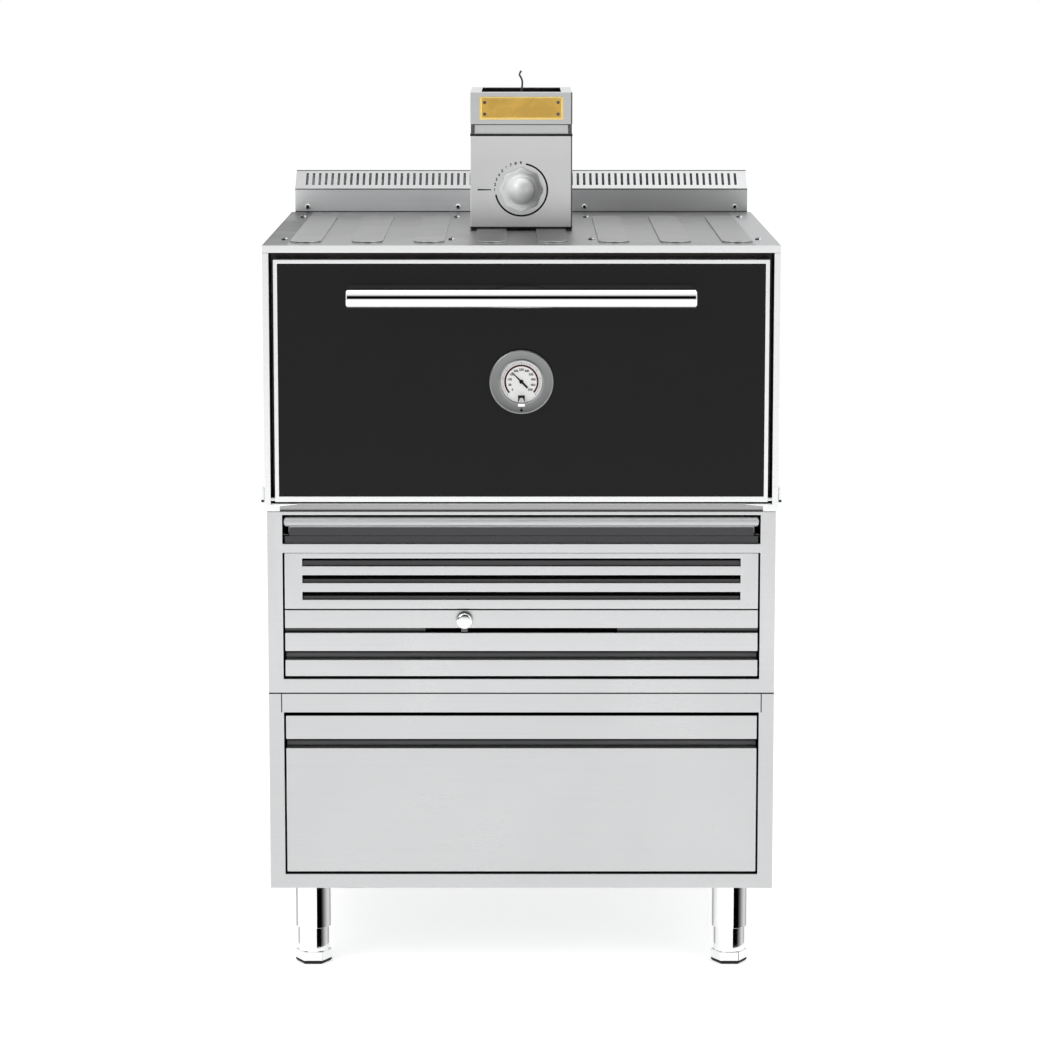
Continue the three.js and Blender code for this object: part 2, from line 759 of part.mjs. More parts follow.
// A raised rib with round ends, in the top plate
function rib(x) {
  const radius = ribWidth / 2;
  const outline = new THREE.Shape();
  outline.absarc(x, ribStart + radius, radius, Math.PI, 2 * Math.PI, false);
  outline.absarc(x, casingDepth - ribBackMargin - radius, radius, 0, Math.PI, false);
  const geometry = new THREE.ExtrudeGeometry(outline, {
    depth: sheet + ribHeight,
    bevelEnabled: false,
    curveSegments: ribEndSteps,
  });
  return geometry.translate(0, 0, plateTop - sheet);
}

function topPlate() {
  const plate = block(across(casingHalf), [0, upstandFront - fit], [casingTop + fit, plateTop]);
  const under = block(
    across(casingHalf - sheet), [sheet, casingDepth + overrun], [casingTop - overrun, plateTop - sheet]);
  const features = [];
  for (let i = 0; i < ribsPerSide; i += 1) {
    const x = (i + 1 / 2) * ribPitch;
    features.push(rib(x), rib(-x));
  }
  const screws = [];
  for (const x of [screwInnerX, casingHalf - screwSideMargin]) {
    for (const y of [screwRowFront, casingDepth - screwBackMargin]) screws.push([x, y], [-x, y]);
  }
  const headTop = plateTop + screwHeadHeight;
  for (const at of screws) {
    features.push(bar("z", screwHeadDiameter, [plateTop - sheet, headTop], at, smallSides));
  }
  const flueHole = block(
    across(flueWidth / 2 + fit), about(chimneyY, flueDepth / 2 + fit),
    [casingTop, plateTop + ribHeight + overrun]);
  return cut(joined(cut(plate, under), ...features), flueHole);
}

// Rear upstand: a folded sheet with a row of slots in its slope
function rearUpstand() {
  const half = upstandHalf;
  const top = slopeTop;
  const bottom = top - upstandDrop;
  const lift = sheet * (Math.hypot(slopeDepth, slopeRise) / slopeDepth);
  const outline = [
    [upstandFront, casingTop + fit], [casingDepth, casingTop + fit], [casingDepth, slopeBottom - sheet],
    [upstandBack, top - lift], [upstandBack, bottom], [upstandBack + sheet, bottom],
    [upstandBack + sheet, top], [upstandBack, top], [upstandFront, slopeBottom],
  ];
  const cheekFront = casingDepth - sheet / 2;
  const cheekBack = upstandBack + sheet / 2;
  const cheekShape = shapeOf([
    [cheekFront, bottom], [cheekBack, bottom], [cheekBack, top - lift / 2],
    [cheekFront, slopeBottom - lift / 2],
  ]);
  const cheeks = [[-half, sheet - half], [half - sheet, half]].map((x) => runAlongX(cheekShape, x));
  const slope = joined(runAlongX(shapeOf(outline), across(half)), ...cheeks);
  const slotLength = Math.hypot(slopeDepth, slopeRise) * airSlotShare;
  const tilt = Math.atan2(slopeRise, slopeDepth);
  const middleY = (upstandFront + upstandBack) / 2;
  const middleZ = (slopeBottom + slopeTop) / 2;
  const slots = [];
  const slotCount = Math.floor(2 * (half - slotMargin) / slotPitch) + 1;
  for (let i = 0; i < slotCount; i += 1) {
    const x = (i - (slotCount - 1) / 2) * slotPitch;
    const slot = new THREE.BoxGeometry(airSlotWidth, slotLength, overrun + sheet);
    slots.push(slot.rotateX(tilt).translate(x, middleY, middleZ));
  }
  return cut(slope, ...slots);
}

// Rear duct: a pan on the casing's back that leads air up into the upstand
function rearDuct() {
  const top = slopeTop - upstandDrop - ductTopGap;
  const bottom = top - ductHeight;
  const front = casingDepth + fit;
  const back = upstandBack + sheet;
  const half = casingHalf - ductSideInset;
  const pan = block(across(half), [front, back], [bottom, top]);
  const hollow = block(
    across(half - sheet), [front - overrun, back - sheet], [bottom + sheet, top + overrun]);
  return cut(pan, hollow);
}

function placeCasing() {
  place("oven_casing", casing(), steel);
  place("top_plate", topPlate(), steel);
  place("rear_upstand", rearUpstand(), dullSteel);
  place("rear_duct", rearDuct(), dullSteel);
}

// Collar round the chamber's mouth, and the rope gasket that the door closes on
function collar() {
  const half = casingHalf - casingStrip - fit;
  const plate = block(across(half), [collarFront, collarBack], [casingBayBottom + fit, casingTop - fit]);
  const mouth = block(
    across(chamberHalf), [collarFront - overrun, collarBack + overrun], [chamberFloor, linerTop - linerWall]);
  return cut(plate, mouth);
}

function gasket() {
  const y = [collarFront - fit - gasketThickness, collarFront - fit];
  const low = chamberFloor;
  const high = linerTop - linerWall;
  const outer = block(across(chamberHalf + gasketWidth), y, [low - gasketWidth, high + gasketWidth]);
  const inner = block(across(chamberHalf), [y[0] - overrun, y[1] + overrun], [low, high]);
  return cut(outer, inner);
}

const grillBottom = chamberFloor + grillHeight;

// Ledges of angle strip on the chamber's side walls that the food grill slides on, joined by a strip
// along the back wall
function grillLedges() {
  const y = [grillStart - grillTravel, chamberBack - fit];
  const wall = chamberHalf - fit;
  const near = grillHalf - grillBearing;
  const top = grillBottom - fit;
  const plate = block(across(wall), y, [top - sheet, top]);
  const middle = block(
    across(near), [y[0] - overrun, y[1] + near - wall], [top - sheet - overrun, top + overrun]);
  const flange = (side) => block(onSide(side, wall - sheet, wall), y, [top - grillLedgeHeight, top]);
  return joined(cut(plate, middle), flange(-1), flange(1));
}

// Liner: the chamber's box, with a hole for ash in its floor and one for smoke in its top
function liner() {
  const box = block(across(linerHalf), [linerFront, linerBack], [linerBottom, linerTop]);
  const chamber = block(
    across(chamberHalf), [linerFront - overrun, chamberBack], [chamberFloor, linerTop - linerWall]);
  const flueHole = block(
    across(flueWidth / 2 - sheet), about(chimneyY, flueDepth / 2 - sheet),
    [linerTop - 2 * linerWall, linerTop + overrun]);
  const ashHole = block(
    across(chuteHalf), [chuteFront, chuteBack], [linerBottom - overrun, chamberFloor + overrun]);
  return cut(box, chamber, flueHole, ashHole);
}

function insulation() {
  const wall = casingHalf - sheet - fit;
  const blanket = block(
    across(wall), [casingStripDepth + fit, casingDepth - sheet - fit],
    [casingBottom + sheet + fit, plateTop - sheet - fit]);
  const room = block(
    across(linerHalf + fit), [collarBack - overrun, linerBack + fit], [linerBottom - fit, linerTop + fit]);
  const flueHole = block(
    across(flueWidth / 2 + fit), about(chimneyY, flueDepth / 2 + fit),
    [linerTop - overrun, plateTop + overrun]);
  const chuteHole = block(
    across(chuteHalf + sheet + fit), [chuteFront - sheet - fit, chuteBack + sheet + fit],
    [casingBottom - overrun, linerBottom + overrun]);
  return cut(blanket, room, flueHole, chuteHole);
}

function ashChute() {
  const z = [ashBoxBottom + ashBoxHeight + 2 * panelGap, linerBottom - fit];
  const outside = block(across(chuteHalf + sheet), [chuteFront - sheet, chuteBack + sheet], z);
  const inside = block(across(chuteHalf), [chuteFront, chuteBack], [z[0] - overrun, z[1] + overrun]);
  return cut(outside, inside);
}

function charcoalGrate() {
  const x = across(grateHalf);
  const y = [grateStart, chamberBack - grateBackGap];
  const z = [chamberFloor + fit, chamberFloor + fit + grateHeight];
  return slottedPlate(x, y, z, grateSlots, grateSlotWidth, grateRim);
}

function emberGuard() {
  const back = grateStart - emberGuardGap;
  const low = chamberFloor + fit;
  return block(across(grateHalf), [back - emberGuardThickness, back], [low, low + emberGuardHeight]);
}

function foodGrill() {
  const x = across(grillHalf);
  const y = [grillStart, chamberBack - grillBackGap];
  const inside = 2 * (grillHalf - grillRim);
  const gap = (inside - grillBars * grillBarWidth) / (grillBars + 1);
  return slottedPlate(x, y, [grillBottom, grillBottom + grillThickness], grillBars + 1, gap, grillRim);
}

function placeChamber() {
  place("front_collar", collar(), steel);
  place("door_gasket", gasket(), wool);
  place("oven_liner", liner(), darkSteel);
  place("grill_ledges", grillLedges(), darkSteel);
  place("insulation_blanket", insulation(), wool);
  place("ash_chute", ashChute(), darkSteel);
  place("charcoal_grate", charcoalGrate(), castIron);
  place("ember_guard", emberGuard(), castIron);
  place("food_grill", foodGrill(), castIron);
}

// Door: a steel frame with a black panel in front, and insulation and a steel panel behind
function knuckle(side) {
  const span = onSide(side, doorHalf - knuckleLength, doorHalf);
  return bar("x", knuckleDiameter, span, [pinY, pinZ], smallSides);
}

function knuckleRoom(side) {
  const depth = [doorFront, pinY + knuckleDiameter / 2 + fit];
  const height = [doorBottom, pinZ + knuckleDiameter / 2 + fit];
  return block(onSide(side, doorHalf - knuckleLength - fit, doorHalf), depth, height);
}

const webFront = doorFront + panelThickness + fit;
const webBack = webFront + doorWall;

function probeBore(diameter, y) {
  return bar("y", diameter, [y[0] - overrun, y[1] + overrun], [0, gaugeZ], smallSides);
}

function doorFrame() {
  const body = block(across(doorHalf), [doorFront, doorBack], [doorBottom, doorTop]);
  const recess = block(
    across(doorHalf - rimSide), [doorFront - overrun, webFront], [doorBottom + rimBottom, doorTop - rimTop]);
  const hollow = block(
    across(doorHalf - doorWall), [webBack, doorBack + overrun], [doorBottom + doorWall, doorTop - doorWall]);
  const pinSpan = [-doorHalf - overrun, doorHalf + overrun];
  const pinHole = bar("x", pinDiameter + 2 * fit, pinSpan, [pinY, pinZ], smallSides);
  const shell = cut(body, recess, hollow, probeBore(probeHole, [doorFront, doorBack]));
  return cut(joined(shell, knuckle(-1), knuckle(1)), pinHole);
}

function doorPanel() {
  const panel = block(
    across(doorHalf - rimSide - fit), [doorFront, doorFront + panelThickness],
    [doorBottom + rimBottom + fit, doorTop - rimTop - fit]);
  return cut(panel, probeBore(probeHole, [doorFront, doorBack]));
}

function doorFilling(y) {
  const filling = block(
    across(doorHalf - doorWall - fit), y, [doorBottom + doorWall + fit, doorTop - doorWall - fit]);
  const bore = probeBore(probeHole, [doorFront, doorBack]);
  return cut(filling, bore, knuckleRoom(-1), knuckleRoom(1));
}

// Hinge: a plate outside the casing with a pin that reaches into the door's knuckle
function hingeBracket(side) {
  const near = casingHalf + fit;
  const far = near + bracketThickness;
  const front = pinY - bracketFront;
  const bottom = pinZ - bracketDrop;
  const plate = block(
    onSide(side, near, far), [front, front + bracketDepth], [bottom, bottom + bracketHeight]);
  const pinSpan = onSide(side, doorHalf - knuckleLength + fit, near + bracketThickness / 2);
  const pin = bar("x", pinDiameter, pinSpan, [pinY, pinZ], smallSides);
  const headSpan = onSide(side, near + bracketThickness / 2, far + pinHeadHeight);
  const head = bar("x", pinHeadDiameter, headSpan, [pinY, pinZ], smallSides);
  return joined(plate, pin, head);
}

// Handle: a tube with closed ends, opened only by its screw bores, on three posts
const outerPost = handleLength / 2 - postInset;
const postPlaces = { left: -outerPost, centre: 0, right: outerPost };

function handleTube() {
  const half = handleLength / 2;
  const radius = handleDiameter / 2;
  const edge = radius - handleChamfer;
  const profile = [
    [0, -half], [edge, -half], [radius, handleChamfer - half], [radius, half - handleChamfer], [edge, half],
    [0, half],
  ];
  const tube = turned("x", profile, [handleY, handleZ]);
  const hollow = bar(
    "x", handleDiameter - 2 * handleWall, across(half - handlePlugLength), [handleY, handleZ], smallSides);
  const bores = Object.values(postPlaces).map(
    (x) => bar("y", screwBore, [handleY, handleY + radius + overrun], [x, handleZ], smallSides));
  return cut(tube, hollow, ...bores);
}

function handlePost(x, flanged) {
  const seat = doorFront - fit;
  const parts = [bar("y", postDiameter, [handleY, seat], [x, handleZ], smallSides)];
  if (flanged) {
    const radius = flangeLength / 2;
    const flange = new THREE.CylinderGeometry(radius, radius, flangeThickness, roundSides);
    flange.applyMatrix4(new THREE.Matrix4().makeScale(1, 1, flangeHeight / flangeLength));
    parts.push(flange.translate(x, seat - flangeThickness / 2, handleZ));
  }
  const saddle = bar("x", handleDiameter + 2 * fit, about(x, postDiameter + overrun), [handleY, handleZ]);
  const front = block(about(x, postDiameter), [handleY - overrun, handleY], about(handleZ, postDiameter));
  return cut(joined(...parts), saddle, front);
}

// Thermometer: a broad bezel, a dial with a pin, a needle that turns on it, a lens and a probe
const bezelBack = doorFront - fit;
const bezelFront = bezelBack - bezelThickness;
const dialBack = bezelBack - fit;
const dialFront = dialBack - dialThickness;
const lensFront = bezelFront + lensSetback;

function bezel() {
  const outer = bezelDiameter / 2;
  const inner = dialDiameter / 2 + fit;
  const profile = [
    [inner, bezelFront], [outer - bezelChamfer, bezelFront], [outer, bezelFront + bezelChamfer],
    [outer, bezelBack], [inner, bezelBack], [inner, bezelFront],
  ];
  return turned("y", profile, [0, gaugeZ]);
}

function dial() {
  const disc = bar("y", dialDiameter, [dialFront, dialBack], [0, gaugeZ]);
  const pinTop = lensFront + lensThickness + fit;
  const pin = bar("y", needlePinDiameter, [pinTop, dialFront + dialThickness / 2], [0, gaugeZ], smallSides);
  return joined(disc, pin);
}

function lens() {
  return bar("y", dialDiameter, [lensFront, lensFront + lensThickness], [0, gaugeZ]);
}

function needle() {
  const y = [dialFront - needleGap - needleThickness, dialFront - needleGap];
  const half = needleWidth / 2;
  const tip = needleTipShare * half;
  const blade = shapeOf([
    [-half, -needleTail], [half, -needleTail], [half, 0],
    [tip, needleLength], [-tip, needleLength], [-half, 0],
  ]);
  const hub = bar("y", needleHubDiameter, y, [0, 0], smallSides);
  const bore = needlePinDiameter + 2 * needlePinFit;
  const hole = bar("y", bore, [y[0] - overrun, y[1] + overrun], [0, 0], smallSides);
  const flat = cut(joined(runAlongY(blade, y), hub), hole);
  return flat.rotateY(-THREE.MathUtils.degToRad(needleRestDegrees)).translate(0, 0, gaugeZ);
}

function placeDoor() {
  const panelFront = doorBack - innerPanelThickness;
  place("door_frame", doorFrame(), steel);
  place("door_panel", doorPanel(), blackPanel);
  place("door_insulation", doorFilling([webBack + fit, panelFront - fit]), wool);
  place("door_inner_panel", doorFilling([panelFront, doorBack]), dullSteel);
  placePair("hinge_bracket", hingeBracket, dullSteel);
  place("door_handle", handleTube(), polishedSteel);
  for (const [name, x] of Object.entries(postPlaces)) {
    place("handle_post_" + name, handlePost(x, x === 0), polishedSteel);
  }
  place("thermometer_bezel", bezel(), steel);
  place("thermometer_dial", dial(), whiteFace);
  place("thermometer_needle", needle(), needleBlack);
  place("thermometer_lens", lens(), clearGlass);
  const probe = bar("y", probeDiameter, [bezelBack, doorBack + probeReach], [0, gaugeZ], smallSides);
  place("thermometer_probe", probe, dullSteel);
}

// The hole that the damper's shaft turns in, right through the chimney
function shaftBore() {
  const y = [housingSetback - overrun, chimneyBack + overrun];
  return bar("y", shaftDiameter + 2 * runningFit, y, [0, damperZ], smallSides);
}

// Chimney
function flueDuct() {
  const z = [linerTop + fit, plateTop + flueRise];
  const outside = block(across(flueWidth / 2), about(chimneyY, flueDepth / 2), z);
  const inside = block(
    across(flueWidth / 2 - sheet), about(chimneyY, flueDepth / 2 - sheet), [z[0] - overrun, z[1] + overrun]);
  return cut(outside, inside, shaftBore());
}

function damperHousing() {
  const shell = block(across(chimneyHalf), [housingSetback, chimneyBack], [housingBottom, housingTop]);
  const hollow = block(
    across(chimneyHalf - sheet), [housingSetback + sheet, chimneyBack - sheet],
    [housingBottom - overrun, housingTop - sheet]);
  const throat = block(
    across(chimneyHalf - housingFlange), [housingSetback + housingFlange, chimneyBack - housingFlange],
    [housingTop - 2 * sheet, housingTop + overrun]);
  return cut(shell, hollow, throat, shaftBore());
}

// Damper valve: a flap welded on a shaft that runs from the knob to the housing's back wall
function damperValve() {
  const y = [housingSetback - fit - knobSkirtDepth / 2, chimneyBack];
  const shaft = bar("y", shaftDiameter, y, [0, damperZ], smallSides);
  const half = flueWidth / 2 - sheet - 2 * runningFit;
  const flap = block(
    across(half), about(chimneyY, flueDepth / 2 - sheet - 2 * runningFit), about(damperZ, flapThickness / 2));
  return joined(shaft, flap);
}

// Damper knob: a lobed skirt under a smooth dome
function damperKnob() {
  const back = housingSetback - runningFit;
  const skirtFront = back - knobSkirtDepth;
  const outline = [];
  const steps = knobLobes * knobLobeSteps;
  for (let i = 0; i < steps; i += 1) {
    const angle = (i / steps) * 2 * Math.PI;
    const dip = knobLobeDepth * (1 - Math.cos(knobLobes * angle)) / 2;
    const radius = knobSkirtDiameter / 2 - dip;
    outline.push([radius * Math.sin(angle), damperZ - radius * Math.cos(angle)]);
  }
  const skirt = runAlongY(shapeOf(outline), [skirtFront, back]);
  const profile = [[0, skirtFront - knobDomeDepth]];
  for (let i = 1; i <= knobDomeRings; i += 1) {
    const angle = (i / knobDomeRings) * (Math.PI / 2);
    profile.push([knobDomeDiameter / 2 * Math.sin(angle), skirtFront - knobDomeDepth * Math.cos(angle)]);
  }
  const seat = skirtFront + knobSkirtDepth / 2;
  profile.push([knobDomeDiameter / 2, seat], [0, seat]);
  const dome = turned("y", profile, [0, damperZ]);
  const depth = [skirtFront + knobSkirtDepth / 4, back + overrun];
  const hole = bar("y", shaftDiameter + 2 * fit, depth, [0, damperZ], smallSides);
  return cut(joined(skirt, dome), hole);
}

// Firebreak: a box that lifts off the damper housing and holds the spark arrestor
function firebreakBox() {
  const y = [housingSetback, chimneyBack];
  const box = block(across(chimneyHalf), y, [firebreakBottom, firebreakTop]);
  const hollow = block(
    across(chimneyHalf - sheet), [y[0] + sheet, y[1] - sheet],
    [firebreakBottom + sheet, firebreakTop - sheet]);
  const topMouth = block(
    across(chimneyHalf - topFlangeSide), [y[0] + topFlangeEnd, y[1] - topFlangeEnd],
    [firebreakTop - 2 * sheet, firebreakTop + overrun]);
  const floorMouth = block(
    across(chimneyHalf - floorLedge), [y[0] + floorLedge + sheet, y[1] - floorLedge - sheet],
    [firebreakBottom - overrun, firebreakBottom + 2 * sheet]);
  const skirt = block(
    across(chimneyHalf - skirtInset), [y[0] + skirtInset, y[1] - skirtInset],
    [skirtBottom, firebreakBottom + sheet]);
  const skirtHollow = block(
    across(chimneyHalf - skirtInset - sheet), [y[0] + skirtInset + sheet, y[1] - skirtInset - sheet],
    [skirtBottom - overrun, firebreakBottom]);
  const pins = [];
  for (const side of [-1, 1]) {
    for (const end of [y[0] + skirtInset / 2, y[1] - skirtInset / 2]) {
      const at = [side * (chimneyHalf - skirtInset / 2), end];
      pins.push(bar("z", cornerPinDiameter, [skirtBottom, firebreakBottom + sheet], at, smallSides));
    }
  }
  return cut(joined(box, cut(skirt, skirtHollow), ...pins), hollow, topMouth, floorMouth);
}

function badge() {
  const front = housingSetback - fit;
  const top = firebreakTop - badgeDrop;
  return block(across(badgeWidth / 2), [front - badgeThickness, front], [top - badgeHeight, top]);
}

const arrestorBottom = firebreakBottom + sheet + fit;
const arrestorTop = arrestorBottom + arrestorHeight;

// The arrestor's hook is a wire that rises from its brace in an S.
function arrestorHook() {
  const base = arrestorTop + fit;
  const points = [
    [0, 0], [hookLean / 2, hookRise / 2], [0, hookRise * 2 / 3], [-hookLean, hookRise * 5 / 6], [0, hookRise],
  ];
  const path = new THREE.CatmullRomCurve3(
    points.map(([x, rise]) => new THREE.Vector3(x, chimneyY, base + hookWire / 2 + rise)));
  const section = new THREE.Shape();
  section.absarc(0, 0, hookWire / 2, 0, 2 * Math.PI, false);
  const wire = new THREE.ExtrudeGeometry(section, {
    steps: hookSteps,
    bevelEnabled: false,
    extrudePath: path,
    curveSegments: wireSides,
  });
  const foot = bar("z", braceWidth, [base - hookWire, base + hookWire], [0, chimneyY], smallSides);
  return joined(wire, foot);
}

// Spark arrestor: a slotted basket with a brace across its top, and the lifting hook welded to it
function sparkArrestor() {
  const half = chimneyHalf - topFlangeSide - arrestorFit;
  const x = across(half);
  const end = topFlangeEnd + arrestorFit;
  const y = [housingSetback + end, chimneyBack - end];
  const floorZ = [arrestorBottom, arrestorBottom + sheet];
  const floor = slottedPlate(x, y, floorZ, arrestorSlots, arrestorSlotWidth, 2 * arrestorSlotWidth);
  const wall = cut(
    block(x, y, [arrestorBottom, arrestorTop]),
    block(
      across(half - sheet), [y[0] + sheet, y[1] - sheet], [arrestorBottom - overrun, arrestorTop + overrun]));
  const brace = block(x, about(chimneyY, braceWidth / 2), [arrestorTop - braceHeight, arrestorTop]);
  return joined(floor, wall, brace, arrestorHook());
}

function placeChimney() {
  place("flue_duct", flueDuct(), darkSteel);
  place("damper_housing", damperHousing(), steel);
  place("damper_knob", damperKnob(), polishedSteel);
  place("damper_valve", damperValve(), darkSteel);
  place("firebreak_box", firebreakBox(), steel);
  place("badge_plate", badge(), brass);
  place("spark_arrestor", sparkArrestor(), darkSteel);
}

placeLegs();
placeCabinet();
placeStorageDrawer();
placeAshDrawer();
placeVentAndRegulator();
placeTray();
placeCasing();
placeChamber();
placeDoor();
placeChimney();

const handleFront = handleY - handleDiameter / 2;
const oven = new THREE.Group();
oven.add(pieces);
pieces.position.y = -(handleFront + upstandBack + sheet) / 2;

export default oven;
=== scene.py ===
# %% [markdown]
# # A charcoal grill oven
# A steel box with a glossy drop-down door stands on a cabinet with a drip tray, an ash drawer and
# a storage drawer, and a short chimney stands on its ribbed top.
# The CAD model is loaded first and stays where it is. It gives every size, so the work here is
# the surface: folded edges that catch the light, screws, printed marks, and the finishes.

# %% Load the fixed frame
import json
import math

import bmesh
import bpy
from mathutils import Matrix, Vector

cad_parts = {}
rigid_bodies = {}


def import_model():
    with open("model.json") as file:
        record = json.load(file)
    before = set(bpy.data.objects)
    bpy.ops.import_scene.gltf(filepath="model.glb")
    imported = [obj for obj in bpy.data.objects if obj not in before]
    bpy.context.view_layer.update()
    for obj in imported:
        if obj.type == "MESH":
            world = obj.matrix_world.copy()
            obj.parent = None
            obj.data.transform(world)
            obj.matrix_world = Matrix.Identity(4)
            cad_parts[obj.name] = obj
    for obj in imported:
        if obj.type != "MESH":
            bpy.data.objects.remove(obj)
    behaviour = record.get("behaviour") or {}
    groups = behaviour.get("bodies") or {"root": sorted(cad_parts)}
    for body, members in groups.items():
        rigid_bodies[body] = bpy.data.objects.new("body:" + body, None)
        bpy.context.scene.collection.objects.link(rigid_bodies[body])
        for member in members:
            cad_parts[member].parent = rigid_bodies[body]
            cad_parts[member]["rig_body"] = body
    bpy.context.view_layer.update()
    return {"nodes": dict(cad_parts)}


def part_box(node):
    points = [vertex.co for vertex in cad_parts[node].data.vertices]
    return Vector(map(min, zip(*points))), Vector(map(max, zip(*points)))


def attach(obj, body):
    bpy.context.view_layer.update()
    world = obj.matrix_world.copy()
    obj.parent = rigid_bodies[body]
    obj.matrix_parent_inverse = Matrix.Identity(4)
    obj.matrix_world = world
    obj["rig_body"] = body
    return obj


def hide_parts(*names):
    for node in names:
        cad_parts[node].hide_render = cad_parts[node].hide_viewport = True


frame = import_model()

scene = bpy.context.scene

# %% [markdown]
# The CAD model was drawn in millimetres with its depth counted back from the casing's front.
# These helpers turn such a place into metres in the frame and back, so that the numbers here can
# be compared with the drawing.

# %% Millimetres and metres
MM = 0.001
CASING_FRONT = -0.3775


def place(x, y, z):
    """A point given in millimetres, y counted back from the casing's front, as metres."""
    return Vector((x * MM, CASING_FRONT + y * MM, z * MM))


def drawn(point):
    """A point of the frame in the drawing's millimetres."""
    return point.x / MM, (point.y - CASING_FRONT) / MM, point.z / MM


def at(part):
    """The middle of a face or an edge of a mesh, in the drawing's millimetres."""
    return drawn(sum((corner.co for corner in part.verts), Vector()) / len(part.verts))


def ends(node, axis):
    """Where a CAD node begins and ends along an axis, in the drawing's millimetres."""
    return [drawn(corner)["xyz".index(axis)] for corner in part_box(node)]


print("door handle, from end to end:", ends("door_handle", "x"))

# %% [markdown]
# Operators act on whatever is selected. Loading leaves everything selected, and a new piece is
# selected alone. These helpers make one piece the only selected one, open it with only some
# faces, edges or corners picked by a rule, clean and close it, and apply what was set, as one
# would do by hand.

# %% Selecting and applying
DOUBLED = 0.01 * MM


def only(piece):
    bpy.ops.object.select_all(action="DESELECT")
    piece.select_set(True)
    bpy.context.view_layer.objects.active = piece


def edit(piece, rule=None, kind="FACE"):
    """Opens a piece in edit mode with the parts that the rule picks, or with all of them."""
    only(piece)
    bpy.ops.object.mode_set(mode="EDIT")
    bpy.ops.mesh.select_mode(type=kind)
    bpy.ops.mesh.select_all(action="DESELECT" if rule else "SELECT")
    if rule:
        shape = bmesh.from_edit_mesh(piece.data)
        for part in {"FACE": shape.faces, "EDGE": shape.edges, "VERT": shape.verts}[kind]:
            if rule(part):
                part.select_set(True)
        bmesh.update_edit_mesh(piece.data)


def close():
    bpy.ops.object.mode_set(mode="OBJECT")


def knit():
    """Merges doubled corners, turns the normals outward, and closes the piece."""
    bpy.ops.mesh.select_all(action="SELECT")
    bpy.ops.mesh.remove_doubles(threshold=DOUBLED)
    bpy.ops.mesh.normals_make_consistent(inside=False)
    close()


def inset(thickness, depth=0.0, apart=False):
    """Insets the picked faces by millimetres, all as one or each apart."""
    bpy.ops.mesh.inset(thickness=thickness * MM, depth=depth * MM, use_individual=apart)


def settle():
    bpy.ops.object.transform_apply(location=True, rotation=True, scale=True)


def modify(piece, kind, **settings):
    only(piece)
    modifier = piece.modifiers.new(kind, kind)
    for name, value in settings.items():
        setattr(modifier, name, value)
    bpy.ops.object.modifier_apply(modifier=modifier.name)


def smooth(piece, angle):
    """Shades smooth wherever faces meet at less than the angle."""
    only(piece)
    bpy.ops.object.shade_smooth_by_angle(angle=math.radians(angle))


# %% [markdown]
# Sheet metal is never razor sharp: a fold has a small radius and a cut edge is deburred. A
# narrow bevel gives each edge the thin bright line that tells the eye it is steel. Weighted
# normals keep the flat parts flat beside it.

# %% Rounding the edges
def even(piece):
    """Shades the bevels smooth and the flat parts flat, from fresh normals."""
    only(piece)
    bpy.ops.mesh.customdata_custom_splitnormals_clear()
    smooth(piece, 50)
    modify(piece, "WEIGHTED_NORMAL", keep_sharp=True)
    return piece


def soften(piece, width):
    """Rounds the edges that are sharper than 30 degrees."""
    modify(
        piece, "BEVEL", width=width * MM, segments=2, limit_method="ANGLE",
        angle_limit=math.radians(30), use_clamp_overlap=True)
    return even(piece)


def copy_of(node):
    """A copy of a CAD node's mesh with its doubled corners merged and flat parts made whole."""
    piece = bpy.data.objects.new(node + "_rounded", frame["nodes"][node].data.copy())
    scene.collection.objects.link(piece)
    piece.data.materials.clear()
    only(piece)
    bpy.ops.mesh.customdata_custom_splitnormals_clear()
    edit(piece)
    bpy.ops.mesh.remove_doubles(threshold=DOUBLED)
    bpy.ops.mesh.dissolve_limited(angle_limit=math.radians(0.5))
    close()
    return piece


# %% [markdown]
# # Finishes
# A material here is a few node groups with its own values. These helpers add nodes and feed
# their sockets, either with a number or with another node's output. Each group has one output.

# %% Adding nodes
def feed(socket, value):
    if isinstance(value, bpy.types.NodeSocket):
        socket.id_data.links.new(value, socket)
    else:
        socket.default_value = value


def add(tree, kind, sockets=None, **settings):
    made = tree.nodes.new("ShaderNode" + kind)
    for name, value in settings.items():
        setattr(made, name, value)
    for name, value in (sockets or {}).items():
        feed(made.inputs[name], value)
    return made


def reckon(tree, operation, *values):
    """One Math node: its operation on the values given."""
    return add(tree, "Math", dict(enumerate(values)), operation=operation).outputs[0]


def aimed(tree, operation, *values):
    return add(tree, "VectorMath", dict(enumerate(values)), operation=operation).outputs


def ramp(tree, value, low, high, start=0.0, end=1.0):
    """Value from low to high, spread smoothly from start to end."""
    made = add(tree, "MapRange", {
        "Value": value, "From Min": low, "From Max": high, "To Min": start, "To Max": end,
    }, interpolation_type="SMOOTHSTEP")
    return made.outputs["Result"]


def new_group(name, inputs):
    tree = bpy.data.node_groups.new(name, "ShaderNodeTree")
    for label, value in inputs.items():
        kind = "NodeSocketVector" if isinstance(value, tuple) else "NodeSocketFloat"
        socket = tree.interface.new_socket(label, in_out="INPUT", socket_type=kind)
        socket.default_value = value
    return tree, add(tree, "TexCoord").outputs, tree.nodes.new("NodeGroupInput").outputs


def answer(tree, label, value):
    tree.interface.new_socket(label, in_out="OUTPUT", socket_type="NodeSocketFloat")
    feed(tree.nodes.new("NodeGroupOutput").inputs[label], value)
    print("group", tree.name, "gives", label)


def use(tree, group, **values):
    made = tree.nodes.new("ShaderNodeGroup")
    made.node_tree = bpy.data.node_groups[group]
    for name, value in values.items():
        feed(made.inputs[name], value)
    return made.outputs[0]


